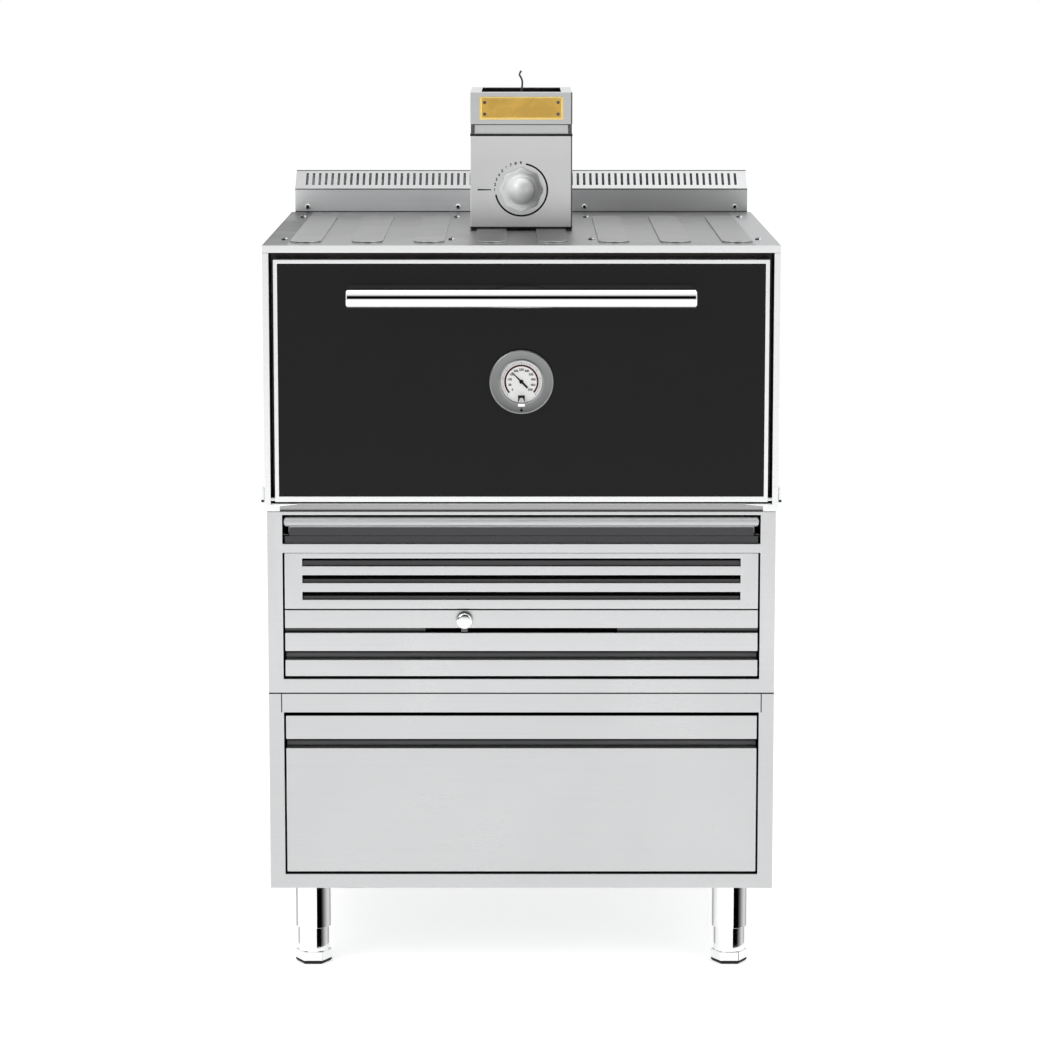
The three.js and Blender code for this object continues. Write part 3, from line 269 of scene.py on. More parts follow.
# %% [markdown]
# Brushed steel is drawn past an abrasive belt, so its marks are long and thin. Noise that is
# stretched along one axis gives them. On a front or a top they run across the oven, and on a
# side they run from front to back, so the surface's own direction chooses the axis.

# %% Group: brushed lines
tree, spot, given = new_group("Brushed lines", {"Fineness": 500.0, "Length": 4.0})
facing = add(tree, "SeparateXYZ", {0: spot["Normal"]}).outputs
sideways = reckon(tree, "GREATER_THAN", reckon(tree, "ABSOLUTE", facing["X"]), 0.7)
fine, long = given["Fineness"], given["Length"]
across = add(tree, "CombineXYZ", {"X": long, "Y": fine, "Z": fine}).outputs[0]
along = add(tree, "CombineXYZ", {"X": fine, "Y": long, "Z": fine}).outputs[0]
stretch = add(tree, "Mix", {0: sideways, 4: across, 5: along}, data_type="VECTOR").outputs[1]
stretched = aimed(tree, "MULTIPLY", spot["Object"], stretch)[0]
lines = add(tree, "TexNoise", {
    "Vector": stretched, "Scale": 1.0, "Detail": 3.0, "Roughness": 0.65})
answer(tree, "Tone", lines.outputs[0])

# %% [markdown]
# A piece turned on a lathe has rings instead. Noise over the distance from the piece's own
# axis, which runs from front to back here, draws them.

# %% Group: turned rings
tree, spot, given = new_group("Turned rings", {"Centre": (0.0, 0.0, 0.0), "Fineness": 500.0})
arm = aimed(tree, "SUBTRACT", spot["Object"], given["Centre"])[0]
flat = aimed(tree, "MULTIPLY", arm, (1.0, 0.0, 1.0))[0]
radius = aimed(tree, "LENGTH", flat)["Value"]
rings = add(tree, "TexNoise", {
    "W": reckon(tree, "MULTIPLY", radius, given["Fineness"]), "Scale": 1.0, "Detail": 2.0,
}, noise_dimensions="1D")
answer(tree, "Tone", rings.outputs[0])

# %% [markdown]
# Handling leaves soft uneven patches, which show as slightly duller or brighter clouds. This
# group gives a value that swings round zero.

# %% Group: uneven patches
tree, spot, given = new_group("Uneven patches", {"Scale": 4.0})
clouds = add(tree, "TexNoise", {
    "Vector": spot["Object"], "Scale": given["Scale"],
    "Detail": 4.0, "Roughness": 0.6, "Distortion": 0.6})
answer(tree, "Swing", ramp(tree, clouds.outputs[0], 0.3, 0.7, -1.0, 1.0))

# %% [markdown]
# Edges are rubbed first, and they are also painted a little brighter, a painted highlight. A Bevel
# node bends the surface's direction near an edge, and how far it bends is a mask for that rubbing
# and that painted highlight, broken up by noise.

# %% Group: rubbed edges and painted edge highlight
tree, spot, given = new_group("Rubbed and highlit edges", {"Radius": 0.0014, "Breakup": 90.0})
bent = add(tree, "Bevel", {"Radius": given["Radius"]}, samples=4).outputs[0]
true = add(tree, "NewGeometry").outputs["Normal"]
edge = ramp(tree, aimed(tree, "DOT_PRODUCT", bent, true)["Value"], 0.995, 0.88)
chips = add(tree, "TexNoise", {
    "Vector": spot["Object"], "Scale": given["Breakup"], "Detail": 2.0})
broken = ramp(tree, chips.outputs[0], 0.35, 0.6, 0.5, 1.0)
answer(tree, "Mask", reckon(tree, "MULTIPLY", edge, broken))

# %% [markdown]
# Some pieces change along an axis, mostly as painted light and shade: the chimney's housing is
# painted paler near the top plate, a painted reflection, and the grip channels are painted dark
# under their lips, a painted shade. This group gives a share of the colour that goes from Start
# to End between two places, in metres.

# %% Group: tone and painted light along an axis
tree, spot, given = new_group("Tone and painted light along an axis", {
    "Axis": (0.0, 0.0, 1.0), "Low": 0.0, "High": 1.0, "Start": 0.5, "End": 1.0})
along = aimed(tree, "DOT_PRODUCT", spot["Object"], given["Axis"])["Value"]
limits = [given[label] for label in ("Low", "High", "Start", "End")]
answer(tree, "Share", ramp(tree, along, *limits))

# %% [markdown]
# Every metal of the oven is the same recipe with its own values: a colour that varies a little
# with the brush marks, the patches and the rubbed edges, which also carry a painted highlight, a
# roughness that does the same, and a shallow bump. Some also take a tone along an axis, mostly
# painted light and shade. Whole-surface constants stay on the shader's own sockets.

# %% Recipe: a metal
def shader_of(material):
    return material.node_tree.nodes["Principled BSDF"].inputs


def new_material(name):
    material = bpy.data.materials.new(name)
    material.use_nodes = True
    return material, material.node_tree, shader_of(material)


def mixed(tree, *terms):
    """The sum of value x share for each (value, share) pair, and of any plain numbers."""
    total = 0.0
    for term in terms:
        part = reckon(tree, "MULTIPLY", *term) if isinstance(term, tuple) else term
        total = reckon(tree, "ADD", total, part)
    return total


def scaled(tree, colour, light):
    return add(tree, "VectorMath", {0: colour, "Scale": light}, operation="SCALE").outputs[0]


def metal(name, colour, rough, lines=0.05, patches=0.02, wear_and_highlight=0.3, length=4.0, centre=None,
          bump=0.04, metallic=1.0, patch_scale=4.0, tint=None):
    """A metal. Its tint is (axis, from, to, share there, share here), in millimetres, and mostly
    paints light and shade along that axis.
    """
    material, tree, shader = new_material(name)
    if centre:
        tone = use(tree, "Turned rings", Centre=tuple(centre))
    else:
        tone = use(tree, "Brushed lines", Length=length)
    tone = reckon(tree, "SUBTRACT", tone, 0.5)
    swing = use(tree, "Uneven patches", Scale=patch_scale)
    rub_and_highlight = use(tree, "Rubbed and highlit edges", Radius=0.0018)
    # The edge mask lightens rubbed edges and paints a highlight along them.
    light = mixed(tree, 1.0, (tone, 2 * lines), (swing, patches), (rub_and_highlight, wear_and_highlight))
    # The tint paints a tone along an axis, mostly painted light and shade.
    if tint:
        axis, low, high, start, end = tint
        share = use(
            tree, "Tone and painted light along an axis", Axis=axis, Low=low * MM, High=high * MM, Start=start, End=end)
        light = reckon(tree, "MULTIPLY", light, share)
    feed(shader["Base Color"], scaled(tree, colour, light))
    feed(shader["Roughness"], mixed(
        tree, rough, (tone, 0.25 * rough), (swing, 0.12 * rough), (rub_and_highlight, -0.25 * rough)))
    height = add(tree, "Bump", {"Height": tone, "Strength": bump, "Distance": 0.0005})
    feed(shader["Normal"], height.outputs[0])
    shader["Metallic"].default_value = metallic
    print("metal", name, "roughness about", rough)
    return material


# %% [markdown]
# The oven's metals. The cabinet, fronts and casing are bright brushed stainless steel, and the
# frames round the door are brighter still, a brighter copy of the steel that is a painted
# highlight. What is less seen is duller, what meets the fire is darkened, and legs, handle and
# knobs are polished. Further lighter and darker copies of the steel, and tones along an axis,
# are painted light and shade.

# %% The metals
GAUGE_HEIGHT = 943.5
KNOB_HEIGHT = 1220
GAUGE = place(0, 0, GAUGE_HEIGHT)
KNOB = place(0, 0, KNOB_HEIGHT)
X = (1.0, 0.0, 0.0)
Y = (0.0, 1.0, 0.0)
Z = (0.0, 0.0, 1.0)
finish = {
    "steel": metal(
        "brushed_steel", (0.61, 0.615, 0.62), 0.30, patches=0.015, tint=(Z, 300, 600, 0.88, 1.0)),
    # Painted highlight: a brighter copy of the brushed steel, for the door frame, the casing's front
    # strips, the top plate's front edge and rib walls, the hinge brackets, the door sill and the
    # corner wedges.
    "highlit_steel": metal("highlit_steel", (0.84, 0.845, 0.85), 0.28, lines=0.03, wear_and_highlight=0.12),
    # Painted light and shade: the upstand's slope and wall are one sheet, given two tones of the
    # steel.
    "slope_light_tone": metal("upstand_slope_light_tone", (0.52, 0.525, 0.53), 0.30),
    # Painted shade: the top plate is a darker copy of the steel, and its left end darker still.
    "top_shaded_steel": metal(
        "top_plate_shaded_steel", (0.26, 0.262, 0.265), 0.36, lines=0.06, wear_and_highlight=0.8, length=3.0),
    "top_left_shade": metal(
        "top_plate_left_end_shade", (0.10, 0.102, 0.104), 0.4, lines=0.12, wear_and_highlight=0.6, length=30.0),
    # Painted shade: the casing's bottom rail darkens towards its lower edge.
    "rail_shade_steel": metal(
        "casing_rail_painted_shade", (0.40, 0.40, 0.405), 0.32, tint=(Z, 741, 745, 0.08, 1.0)),
    # Painted reflection: the chimney's housing is painted paler towards the top plate.
    "housing_sheen_steel": metal(
        "chimney_painted_sheen", (0.74, 0.74, 0.745), 0.34, wear_and_highlight=0.2, tint=(Z, 1180, 1270, 1.24, 1.0)),
    # Painted light: the upstand wall is painted lighter towards its left end.
    "wall_light_tone": metal(
        "upstand_wall_light_tone", (0.62, 0.625, 0.63), 0.38, wear_and_highlight=0.1, tint=(X, -80, 80, 1.5, 1.0)),
    "dull_steel": metal("mill_steel", (0.40, 0.405, 0.41), 0.40, patches=0.06, patch_scale=7.0),
    # A dark steel for dark pins and lines, and painted shade: the cabinets' insides, the line under
    # the firebreak, the chimney's right-hand corners and the regulator knob's back.
    "dark_and_shaded_steel": metal(
        "dark_and_shaded_steel", (0.13, 0.13, 0.132), 0.45, patches=0.10, patch_scale=7.0, wear_and_highlight=0.2),
    "dark_steel": metal(
        "fired_steel", (0.13, 0.12, 0.115), 0.5, patches=0.35, patch_scale=9.0, lines=0.15, wear_and_highlight=0.1,
        metallic=0.85),
    "shade_steel": metal("shaded_steel", (0.075, 0.075, 0.078), 0.42, wear_and_highlight=0.2),
    # Painted shade: the finger channels darken under their lips, and the regulator rail's set-back
    # edge darkens towards its lower end.
    "storage_channel_shade": metal(
        "storage_channel_painted_shade", (0.24, 0.24, 0.245), 0.4, tint=(Z, 366, 374, 1.0, 0.05)),
    "ash_channel_shade": metal("ash_channel_painted_shade", (0.24, 0.24, 0.245), 0.4, tint=(Z, 507, 515, 1.0, 0.05)),
    "regulator_lip_shade": metal(
        "regulator_lip_painted_shade", (0.12, 0.12, 0.122), 0.4, tint=(Z, 549, 556, 0.08, 1.0)),
    "lip_steel": metal("tray_lip_steel", (0.60, 0.605, 0.61), 0.6),
    "polished_steel": metal(
        "polished_steel", (0.86, 0.865, 0.87), 0.07, lines=0.01, patches=0.01, wear_and_highlight=0.02, bump=0.008),
    "turned_steel": metal(
        "turned_steel", (0.24, 0.243, 0.245), 0.36, centre=GAUGE, lines=0.16, wear_and_highlight=0.9),
    # Painted light: the knob is painted lighter at its left and darker at its right.
    "turned_knob_painted_light": metal(
        "turned_knob_painted_light", (0.92, 0.925, 0.93), 0.42, centre=KNOB, lines=0.04, wear_and_highlight=0.1, metallic=0.3,
        tint=(X, -12, 30, 1.0, 0.3)),
    "brass": metal(
        "brass", (0.70, 0.44, 0.105), 0.34, lines=0.06, patches=0.10, patch_scale=30.0, wear_and_highlight=0.5),
    "bright_brass": metal("bright_brass", (0.98, 0.70, 0.24), 0.3, patches=0.05, patch_scale=30.0),
}

# %% [markdown]
# Cast iron is dark and grainy from the sand mould. Fine noise drives both its colour and a
# strong bump. Enamel, ink, rubber and wool are made the same way with other values, and the
# black rubber also serves as painted shade in hollows and gaps. The white dial glows faintly,
# so that it stays white behind its lens.

# %% Surfaces that aren't brushed
def plain(name, colour, rough, grain, depth, tint, shine=0.5):
    """A surface that isn't brushed: a grain of the given scale tints it and bumps it."""
    material, tree, shader = new_material(name)
    spot = add(tree, "TexCoord").outputs["Object"]
    noise = add(tree, "TexNoise", {"Vector": spot, "Scale": grain, "Detail": 4.0}).outputs[0]
    swing = use(tree, "Uneven patches", Scale=12.0)
    rub_and_highlight = use(tree, "Rubbed and highlit edges")
    around = reckon(tree, "SUBTRACT", noise, 0.5)
    # The edge mask lightens rubbed edges and paints a highlight along them.
    light = mixed(tree, 1.0, (around, 2 * tint), (swing, 0.5 * tint), (rub_and_highlight, tint))
    feed(shader["Base Color"], scaled(tree, colour, light))
    feed(shader["Roughness"], mixed(tree, rough, (around, 0.3 * rough), (rub_and_highlight, -0.15 * rough)))
    feed(shader["Normal"], add(tree, "Bump", {
        "Height": noise, "Strength": depth, "Distance": 0.001}).outputs[0])
    shader["Specular IOR Level"].default_value = shine
    print("surface", name, "roughness about", rough)
    return material


finish["cast_iron"] = plain("cast_iron", (0.035, 0.032, 0.030), 0.72, 420.0, 0.7, tint=0.4)
finish["black_panel"] = plain(
    "black_enamel", (0.0045, 0.0045, 0.005), 0.16, 60.0, 0.01, tint=0.1, shine=0.19)
finish["white_dial"] = plain("white_dial", (0.97, 0.97, 0.955), 0.45, 300.0, 0.03, tint=0.01)
finish["black_needle"] = plain(
    "black_ink", (0.004, 0.004, 0.0045), 0.5, 300.0, 0.03, tint=0.1, shine=0.2)
finish["red_ink"] = plain("red_ink", (0.085, 0.002, 0.010), 0.5, 300.0, 0.03, tint=0.1, shine=0.2)
# Black rubber for the pads and seals, and painted shade: the slot walls, the duct's inside, screw
# sockets, the bezel's hole, the hinge pins' ends and the feet's shaded sides.
finish["black_rubber_and_shade"] = plain(
    "black_rubber_and_shade", (0.010, 0.010, 0.010), 0.7, 500.0, 0.2, tint=0.3, shine=0.3)
finish["ceramic_wool"] = plain(
    "ceramic_wool", (0.74, 0.70, 0.60), 0.95, 260.0, 0.9, tint=0.15, shine=0.2)
shine = shader_of(finish["white_dial"])
shine["Emission Color"].default_value = (1, 1, 1, 1)
shine["Emission Strength"].default_value = 0.16

# %% [markdown]
# The gauge's lens is real glass, so it keeps a plain Transmission and only its roughness
# carries faint smears. It is coated, so it hardly mirrors, which a low index gives. A shadow ray
# passes it almost freely, as light passes a thin window, so the dial behind it stays white.

# %% Clear glass
material, tree, shader = new_material("clear_glass")
shader["Transmission Weight"].default_value = 1.0
shader["IOR"].default_value = 1.12
swing = use(tree, "Uneven patches", Scale=60.0)
feed(shader["Roughness"], mixed(tree, 0.02, (swing, 0.015)))
blocked = add(tree, "LightPath").outputs["Is Shadow Ray"]
feed(shader["Alpha"], mixed(tree, 1.0, (blocked, -0.92)))
finish["clear_glass"] = material

# %% [markdown]
# A finished piece gets its finish and the body that it moves with, and the CAD nodes that it
# stands for are hidden. Some pieces have a second finish on some of their faces, which a rule
# picks.


def done(piece, look, body, *replaced):
    piece.data.materials.clear()
    piece.data.materials.append(finish[look])
    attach(piece, body)
    if replaced:
        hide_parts(*replaced)
    return piece


def found(name):
    """A piece by its own name, or a node's rounded copy by the node's name."""
    return bpy.data.objects.get(name + "_rounded") or bpy.data.objects[name]


def score(name, axis, *values):
    """Scribes lines right round a piece, so that the faces on their two sides are separate."""
    for value in values:
        edit(found(name))
        bpy.ops.mesh.bisect(plane_co=place(value, value, value), plane_no=axis)
        close()
    even(found(name))


def paint(name, look, rule):
    """A second finish for the faces that the rule picks by their normal and their middle."""
    piece = found(name)
    piece.data.materials.append(finish[look])
    edit(piece, lambda face: rule(face.normal, *at(face)))
    piece.active_material_index = len(piece.data.materials) - 1
    bpy.ops.object.material_slot_assign()
    close()
    painted = sum(face.material_index == piece.active_material_index for face in piece.data.polygons)
    print(piece.name, "-", painted, "faces in", look)


# %% [markdown]
# # The sheet metal
# Most of the oven is folded and welded sheet, whose main form the CAD already has. Each such
# node is copied, its edges are rounded by the radius that its sheet would have, and the copy
# takes its place. Each row has a finish, a radius in millimetres and the nodes.

# %% Rounded copies of the plain pieces
# Painted light and shade among these rows: the door frame and hinge brackets take the brighter copy
# of the steel, the top plate a darker copy, the chimney's housing and the upstand painted tones, and
# the front collar is dark also as painted shade in the gap round the door.
ROUNDED = (
    ("steel", 0.8, "lower_cabinet upper_cabinet storage_drawer_front ash_drawer_front oven_casing "
     "firebreak_box"),
    ("steel", 0.6, "vent_panel regulator_rail"),
    ("steel", 0.5, "drip_tray"),
    ("highlit_steel", 0.8, "door_frame"),
    ("highlit_steel", 0.5, "hinge_bracket_left hinge_bracket_right"),
    ("top_shaded_steel", 0.7, "top_plate"),
    ("housing_sheen_steel", 1.6, "damper_housing"),
    ("wall_light_tone", 0.4, "rear_upstand"),
    ("dull_steel", 0.6, "storage_drawer_box ash_drawer_box drawer_runner_outer_left "
     "drawer_runner_outer_right side_guide_left side_guide_right"),
    ("dull_steel", 0.8, "drawer_runner_middle_left drawer_runner_middle_right rear_duct "
     "thermometer_probe"),
    ("dull_steel", 0.9, "door_inner_panel"),
    ("dark_steel", 0.5, "regulator_carriage grill_ledges damper_valve"),
    ("dark_steel", 0.8, "oven_liner"),
    ("dark_steel", 0.6, "ash_chute flue_duct front_collar"),
    ("dark_steel", 0.4, "spark_arrestor"),
    ("polished_steel", 0.5, "leg_front_left leg_front_right leg_back_left leg_back_right"),
    ("polished_steel", 0.8, "foot_front_left foot_front_right foot_back_left foot_back_right"),
    ("polished_steel", 0.6, "handle_post_left handle_post_centre handle_post_right"),
    ("cast_iron", 1.5, "charcoal_grate"),
    ("cast_iron", 1.2, "ember_guard food_grill"),
    ("black_panel", 0.5, "door_panel"),
    ("ceramic_wool", 1.8, "door_gasket"),
    ("ceramic_wool", 3.0, "insulation_blanket"),
    ("ceramic_wool", 2.0, "door_insulation"),
)
for look, width, nodes in ROUNDED:
    for node in nodes.split():
        piece = soften(copy_of(node), width)
        done(piece, look, frame["nodes"][node]["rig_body"], node)
    print(look, "-", width, "mm -", nodes)

# %% [markdown]
# The casing round the door is one folded sheet. Its front strips are painted bright, a painted
# highlight, its bottom rail is duller with a dark lower edge, a painted shade, and its inside,
# which only shows as the gap round the door, is painted dark: smoke-blackened steel, and also
# painted shade in that gap. Strips and rail are one flat face, so lines are scribed between them
# first.

# %% Casing
RAIL_TOP = 751.5
RAIL_END = 376


def on_front(n, y):
    """Whether a face looks forward and lies at the casing's front."""
    return n.y < -0.4 and y < 3


def inward(n, x, z, middle):
    """Whether a face looks at the middle of its opening, from more than 50 mm away."""
    return n.x * x + n.z * (z - middle) < -50


score("oven_casing", Z, RAIL_TOP)
score("oven_casing", X, -RAIL_END, RAIL_END)
# Painted highlight on the front strips.
paint("oven_casing", "highlit_steel", lambda n, x, y, z: on_front(n, y))
# Painted shade: the bottom rail darkens towards its lower edge.
paint("oven_casing", "rail_shade_steel", lambda n, x, y, z: (
    on_front(n, y) and z < RAIL_TOP and abs(x) < RAIL_END))
# Painted shade: the inside, seen through the gap round the door, is made dark.
paint("oven_casing", "dark_steel", lambda n, x, y, z: y > 1.2 and inward(n, x, z, middle=945))

# %% [markdown]
# The top plate is a darker copy of the steel, a painted shade, and its front edge is painted bright,
# a painted highlight. Its two ends beyond the ribs are painted too: the left one darker and the
# right one lighter, as painted shade and light. The ribs take a painted highlight at their front
# walls and painted shade at their side walls, but for those that face the light at the left,
# which are painted bright.

# %% Top plate
LEFT_STRIP = -396.5
RIBS_END = 361.5


def on_rib(n, x, y):
    """Whether a face is a sloping wall of a rib."""
    return 10 < y < 740 and abs(x) < 390 and 0.02 < n.z < 0.97


score("top_plate", X, LEFT_STRIP, -RIBS_END, RIBS_END)
# Painted light and shade: a highlight at the front edge and on the ribs' front walls, shade on their
# side walls, a darker left end and a lighter right end.
paint("top_plate", "highlit_steel", lambda n, x, y, z: on_front(n, y))
paint("top_plate", "top_left_shade", lambda n, x, y, z: n.z > 0.9 and x < 0.5 - RIBS_END)
paint("top_plate", "dull_steel", lambda n, x, y, z: n.z > 0.9 and x > RIBS_END - 0.5)
paint("top_plate", "shade_steel", lambda n, x, y, z: (
    on_rib(n, x, y) and abs(n.x) > 0.2 or n.z > 0.5 and x < LEFT_STRIP))
paint("top_plate", "highlit_steel", lambda n, x, y, z: (
    on_rib(n, x, y) and (n.y < -0.2 or n.x > 0.2 and x < 0)))

# %% [markdown]
# The slotted slope of the upstand is brighter than its wall: both are painted tones of the steel,
# and the wall is painted lighter towards its left end. One looks through its slots into a dark
# duct, whose inside and the slots' walls are painted black as shade. Its upper edge is painted
# dark too, and so are the fold under the slope and the joint with the top plate.

# %% Upstand
TOP_EDGE = 1222.4
FOLD_TOP = 1194.4
FOLD_FOOT = 1192.6
JOINT_TOP = 1155.6

# Painted light and shade: the slope takes its own tone, and the slot walls and the duct's inside are
# painted black as shade.
paint("rear_upstand", "slope_light_tone", lambda n, x, y, z: z > 1195 and n.y < -0.2)
paint("rear_upstand", "black_rubber_and_shade", lambda n, x, y, z: (
    z > 1196 and abs(x) < 389 and (abs(n.x) > 0.5 or n.y > 0.3 or n.z < -0.5)))
score("rear_upstand", Z, TOP_EDGE, FOLD_TOP, FOLD_FOOT, JOINT_TOP)
paint("rear_upstand", "dark_and_shaded_steel", lambda n, x, y, z: (
    z > TOP_EDGE or n.y < -0.2 and (FOLD_FOOT < z < FOLD_TOP or z < JOINT_TOP)))
paint("rear_duct", "black_rubber_and_shade", lambda n, x, y, z: (
    n.x * x + n.y * (y - 795) + n.z * (z - 995) < -10))

# %% [markdown]
# Inside, the cabinets are bare sheet painted dark, a painted shade, so that the narrow gaps round
# the drawers look black against their bright fronts; the upper cabinet's lower faces are painted
# in shade too. The lower cabinet's top rail meets its side strips in two thin dark seams. The
# finger channels are painted dark under their lips, a painted shade, and so are the tray's front
# wall under its bright lip, the regulator rail's set-back edge and the walls of the vent slots.

# %% Cabinets, drawers and tray
SEAM_FOOT = 421
LIP_FOOT = 714.8

# Painted shade: the cabinets' insides are made dark, so that the gaps look black.
paint("lower_cabinet", "dark_and_shaded_steel", lambda n, x, y, z: y > 1.2 and inward(n, x, z, middle=294))
paint("upper_cabinet", "dark_and_shaded_steel", lambda n, x, y, z: y > 1.2 and inward(n, x, z, middle=595))
paint("upper_cabinet", "shade_steel", lambda n, x, y, z: n.z < -0.3 and z < 453)
score("lower_cabinet", X, -377, -375.2, 375.2, 377)
score("lower_cabinet", Z, SEAM_FOOT)
paint("lower_cabinet", "shade_steel", lambda n, x, y, z: (
    n.z > 0.3 and z > 450.4 or on_front(n, y) and 375.2 < abs(x) < 377 and z > SEAM_FOOT))
# Painted shade: the finger channels darken under their lips.
paint("storage_drawer_front", "storage_channel_shade", lambda n, x, y, z: y > 1.8 and z > 364.5)
paint("ash_drawer_front", "ash_channel_shade", lambda n, x, y, z: y > 1.8 and z > 505.5)
score("drip_tray", Z, LIP_FOOT)
paint("drip_tray", "shade_steel", lambda n, x, y, z: n.y < -0.5 and y < 8 and z < LIP_FOOT)
paint("drip_tray", "lip_steel", lambda n, x, y, z: n.y < -0.2 and y < 8 and z > LIP_FOOT)
# Painted shade: the regulator rail's set-back edge darkens towards its foot.
paint("regulator_rail", "regulator_lip_shade", lambda n, x, y, z: y > 0.5 and z < 557.5)
paint("vent_panel", "shade_steel", lambda n, x, y, z: y > 2.2)

# %% [markdown]
# The centre post of the handle sits on an oval plate that is enamelled like the door. The feet
# stand on black rubber, whose black also stands for the shade under them, and one side of their
# collars is painted black as shade. The firebreak box is sooty inside and stands on four dark
# pins, with a painted shade line under its lower edge. The chimney's right-hand corners face away
# from the window, so they are painted dark as shade.

# %% Handle plate, feet and chimney
RUBBER_TOP = 6.0
BOX_FOOT = 1324.2
CHIMNEY_DEPTH = 444

paint("handle_post_centre", "black_panel", lambda n, x, y, z: y > -5.2)
for end in ("front_left", "front_right", "back_left", "back_right"):
    score(f"foot_{end}", Z, RUBBER_TOP)
    # Painted shade: the feet are black at the floor and at one side of their collars.
    paint(f"foot_{end}", "black_rubber_and_shade", lambda n, x, y, z: z < RUBBER_TOP or (
        z < 20 and abs(n.z) < 0.2 and 0.15 < math.atan2(n.x, -n.y) < 0.9))
score("firebreak_box", Z, BOX_FOOT)
paint("firebreak_box", "dark_steel", lambda n, x, y, z: (
    z > 1326.5 and n.x * x + n.y * (y - CHIMNEY_DEPTH) < -10))
# Painted shade: a line under the firebreak's lower edge.
paint("firebreak_box", "dark_and_shaded_steel", lambda n, x, y, z: z < 1325.9 and (
    z > BOX_FOOT or math.hypot(abs(x) - 79, abs(y - CHIMNEY_DEPTH) - 121.5) < 3.4))
for node in ("firebreak_box", "damper_housing"):
    corner = ends(node, "x")[1] - 2.2
    score(node, X, corner)
    # Painted shade: the right-hand corners.
    paint(node, "dark_and_shaded_steel", lambda n, x, y, z: n.y < -0.1 and x > corner)

# %% [markdown]
# # Turned pieces
# The handle, the gauge's bezel and the knobs are round about one axis. By hand one would shrink
# a plane to a single point, extrude that point along half of the section, and spin the line
# once round. Profiles are (radius, place along the axis) in millimetres.

# %% Helper: a line drawn point by point
def trail(name, points):
    """A chain of edges through the points, left open in edit mode with all of it selected."""
    bpy.ops.mesh.primitive_plane_add(size=0.01, location=points[0])
    piece = bpy.context.object
    piece.name = name
    settle()
    edit(piece, kind="VERT")
    bpy.ops.mesh.merge(type="CENTER")
    for here, there in zip(points, points[1:]):
        bpy.ops.mesh.extrude_region_move(TRANSFORM_OT_translate={"value": there - here})
    bpy.ops.mesh.select_all(action="SELECT")
    return piece


# %% Helpers: spinning a profile, a block, joining and repeating
def turned(name, profile, centre, axis, steps, ring=False):
    """Spins a profile round an axis. A ring's profile joins up with its start."""
    axis = Vector(axis)
    side = Vector(X if axis.z > 0.5 else Z)
    piece = trail(name, [centre + side * (r * MM) + axis * (h * MM) for r, h in profile])
    if ring:
        close()
        edit(piece, lambda corner: corner.index in (0, len(profile) - 1), "VERT")
        bpy.ops.mesh.edge_face_add()
        bpy.ops.mesh.select_all(action="SELECT")
    bpy.ops.mesh.spin(steps=steps, angle=math.tau, center=centre, axis=axis)
    knit()
    smooth(piece, 32)
    return piece


def block(name, x, y, z):
    """A block between two x, two y and two z values, ready to be shaped."""
    low, high = place(x[0], y[0], z[0]), place(x[1], y[1], z[1])
    bpy.ops.mesh.primitive_cube_add(size=1, location=(low + high) / 2)
    piece = bpy.context.object
    piece.name = name
    piece.scale = high - low
    settle()
    return piece


def repeat(piece, shifts):
    """Copies of a piece, each with its own mesh, moved by the shifts."""
    for number, shift in enumerate(shifts, 1):
        only(piece)
        bpy.ops.object.duplicate()
        bpy.context.object.name = f"{piece.name}_{number}"
        bpy.ops.transform.translate(value=shift)
        settle()


def joined(name, pieces):
    only(pieces[0])
    for piece in pieces[1:]:
        piece.select_set(True)
    bpy.ops.object.join()
    pieces[0].name = name
    return pieces[0]


# %% [markdown]
# The handle is a polished tube with a plug pressed into each end. A shallow step marks where the
# plug meets the tube, and the tube's end is chamfered.

# %% Door handle
HANDLE = place(0, -51, 1076)
half = [
    (0, 267.4), (12.4, 267.4), (12.7, 266.8), (13.0, 267.5), (13.3, 268), (13.9, 268), (15, 266.5)]
profile = [(r, -h) for r, h in half] + [(r, h) for r, h in reversed(half)]
handle = turned("handle_tube", profile, HANDLE, X, 72)
done(handle, "polished_steel", "door", "door_handle")
print("handle:", len(handle.data.polygons), "faces")

# %% [markdown]
# The gauge's bezel is a broad turned ring, slightly dished towards its dial, with a small
# hole at the bottom. The hole is cut with a Boolean, as a drill would, and its wall is painted
# black as shade.

# %% Gauge bezel
HOLE_HEIGHT = GAUGE_HEIGHT - 43.8
bezel = turned("gauge_bezel", [
    (50, -1.3), (50, -8.0), (49.3, -9.4), (47.8, -10.3), (46.4, -10.2), (36.2, -8.3), (34.6, -8.6),
    (33.6, -9.3), (32.9, -9.0), (32.8, -1.3)], GAUGE, Y, 96, ring=True)
drill = turned("drill", [(0, -14), (2.1, -14), (2.1, -4), (0, -4)], place(0, 0, HOLE_HEIGHT), Y, 24)
modify(bezel, "BOOLEAN", object=drill, operation="DIFFERENCE", solver="EXACT")
bpy.data.objects.remove(drill)
smooth(bezel, 32)
done(bezel, "turned_steel", "door", "thermometer_bezel")
# Painted shade: the hole's wall is black.
paint("gauge_bezel", "black_rubber_and_shade", lambda n, x, y, z: (
    y > -8 and math.hypot(x, z - HOLE_HEIGHT) < 2.2))

# %% [markdown]
# The dial is a pressed white disc with a raised rim and its pin, and the lens bulges a little.
# Both lie where their CAD solids do.

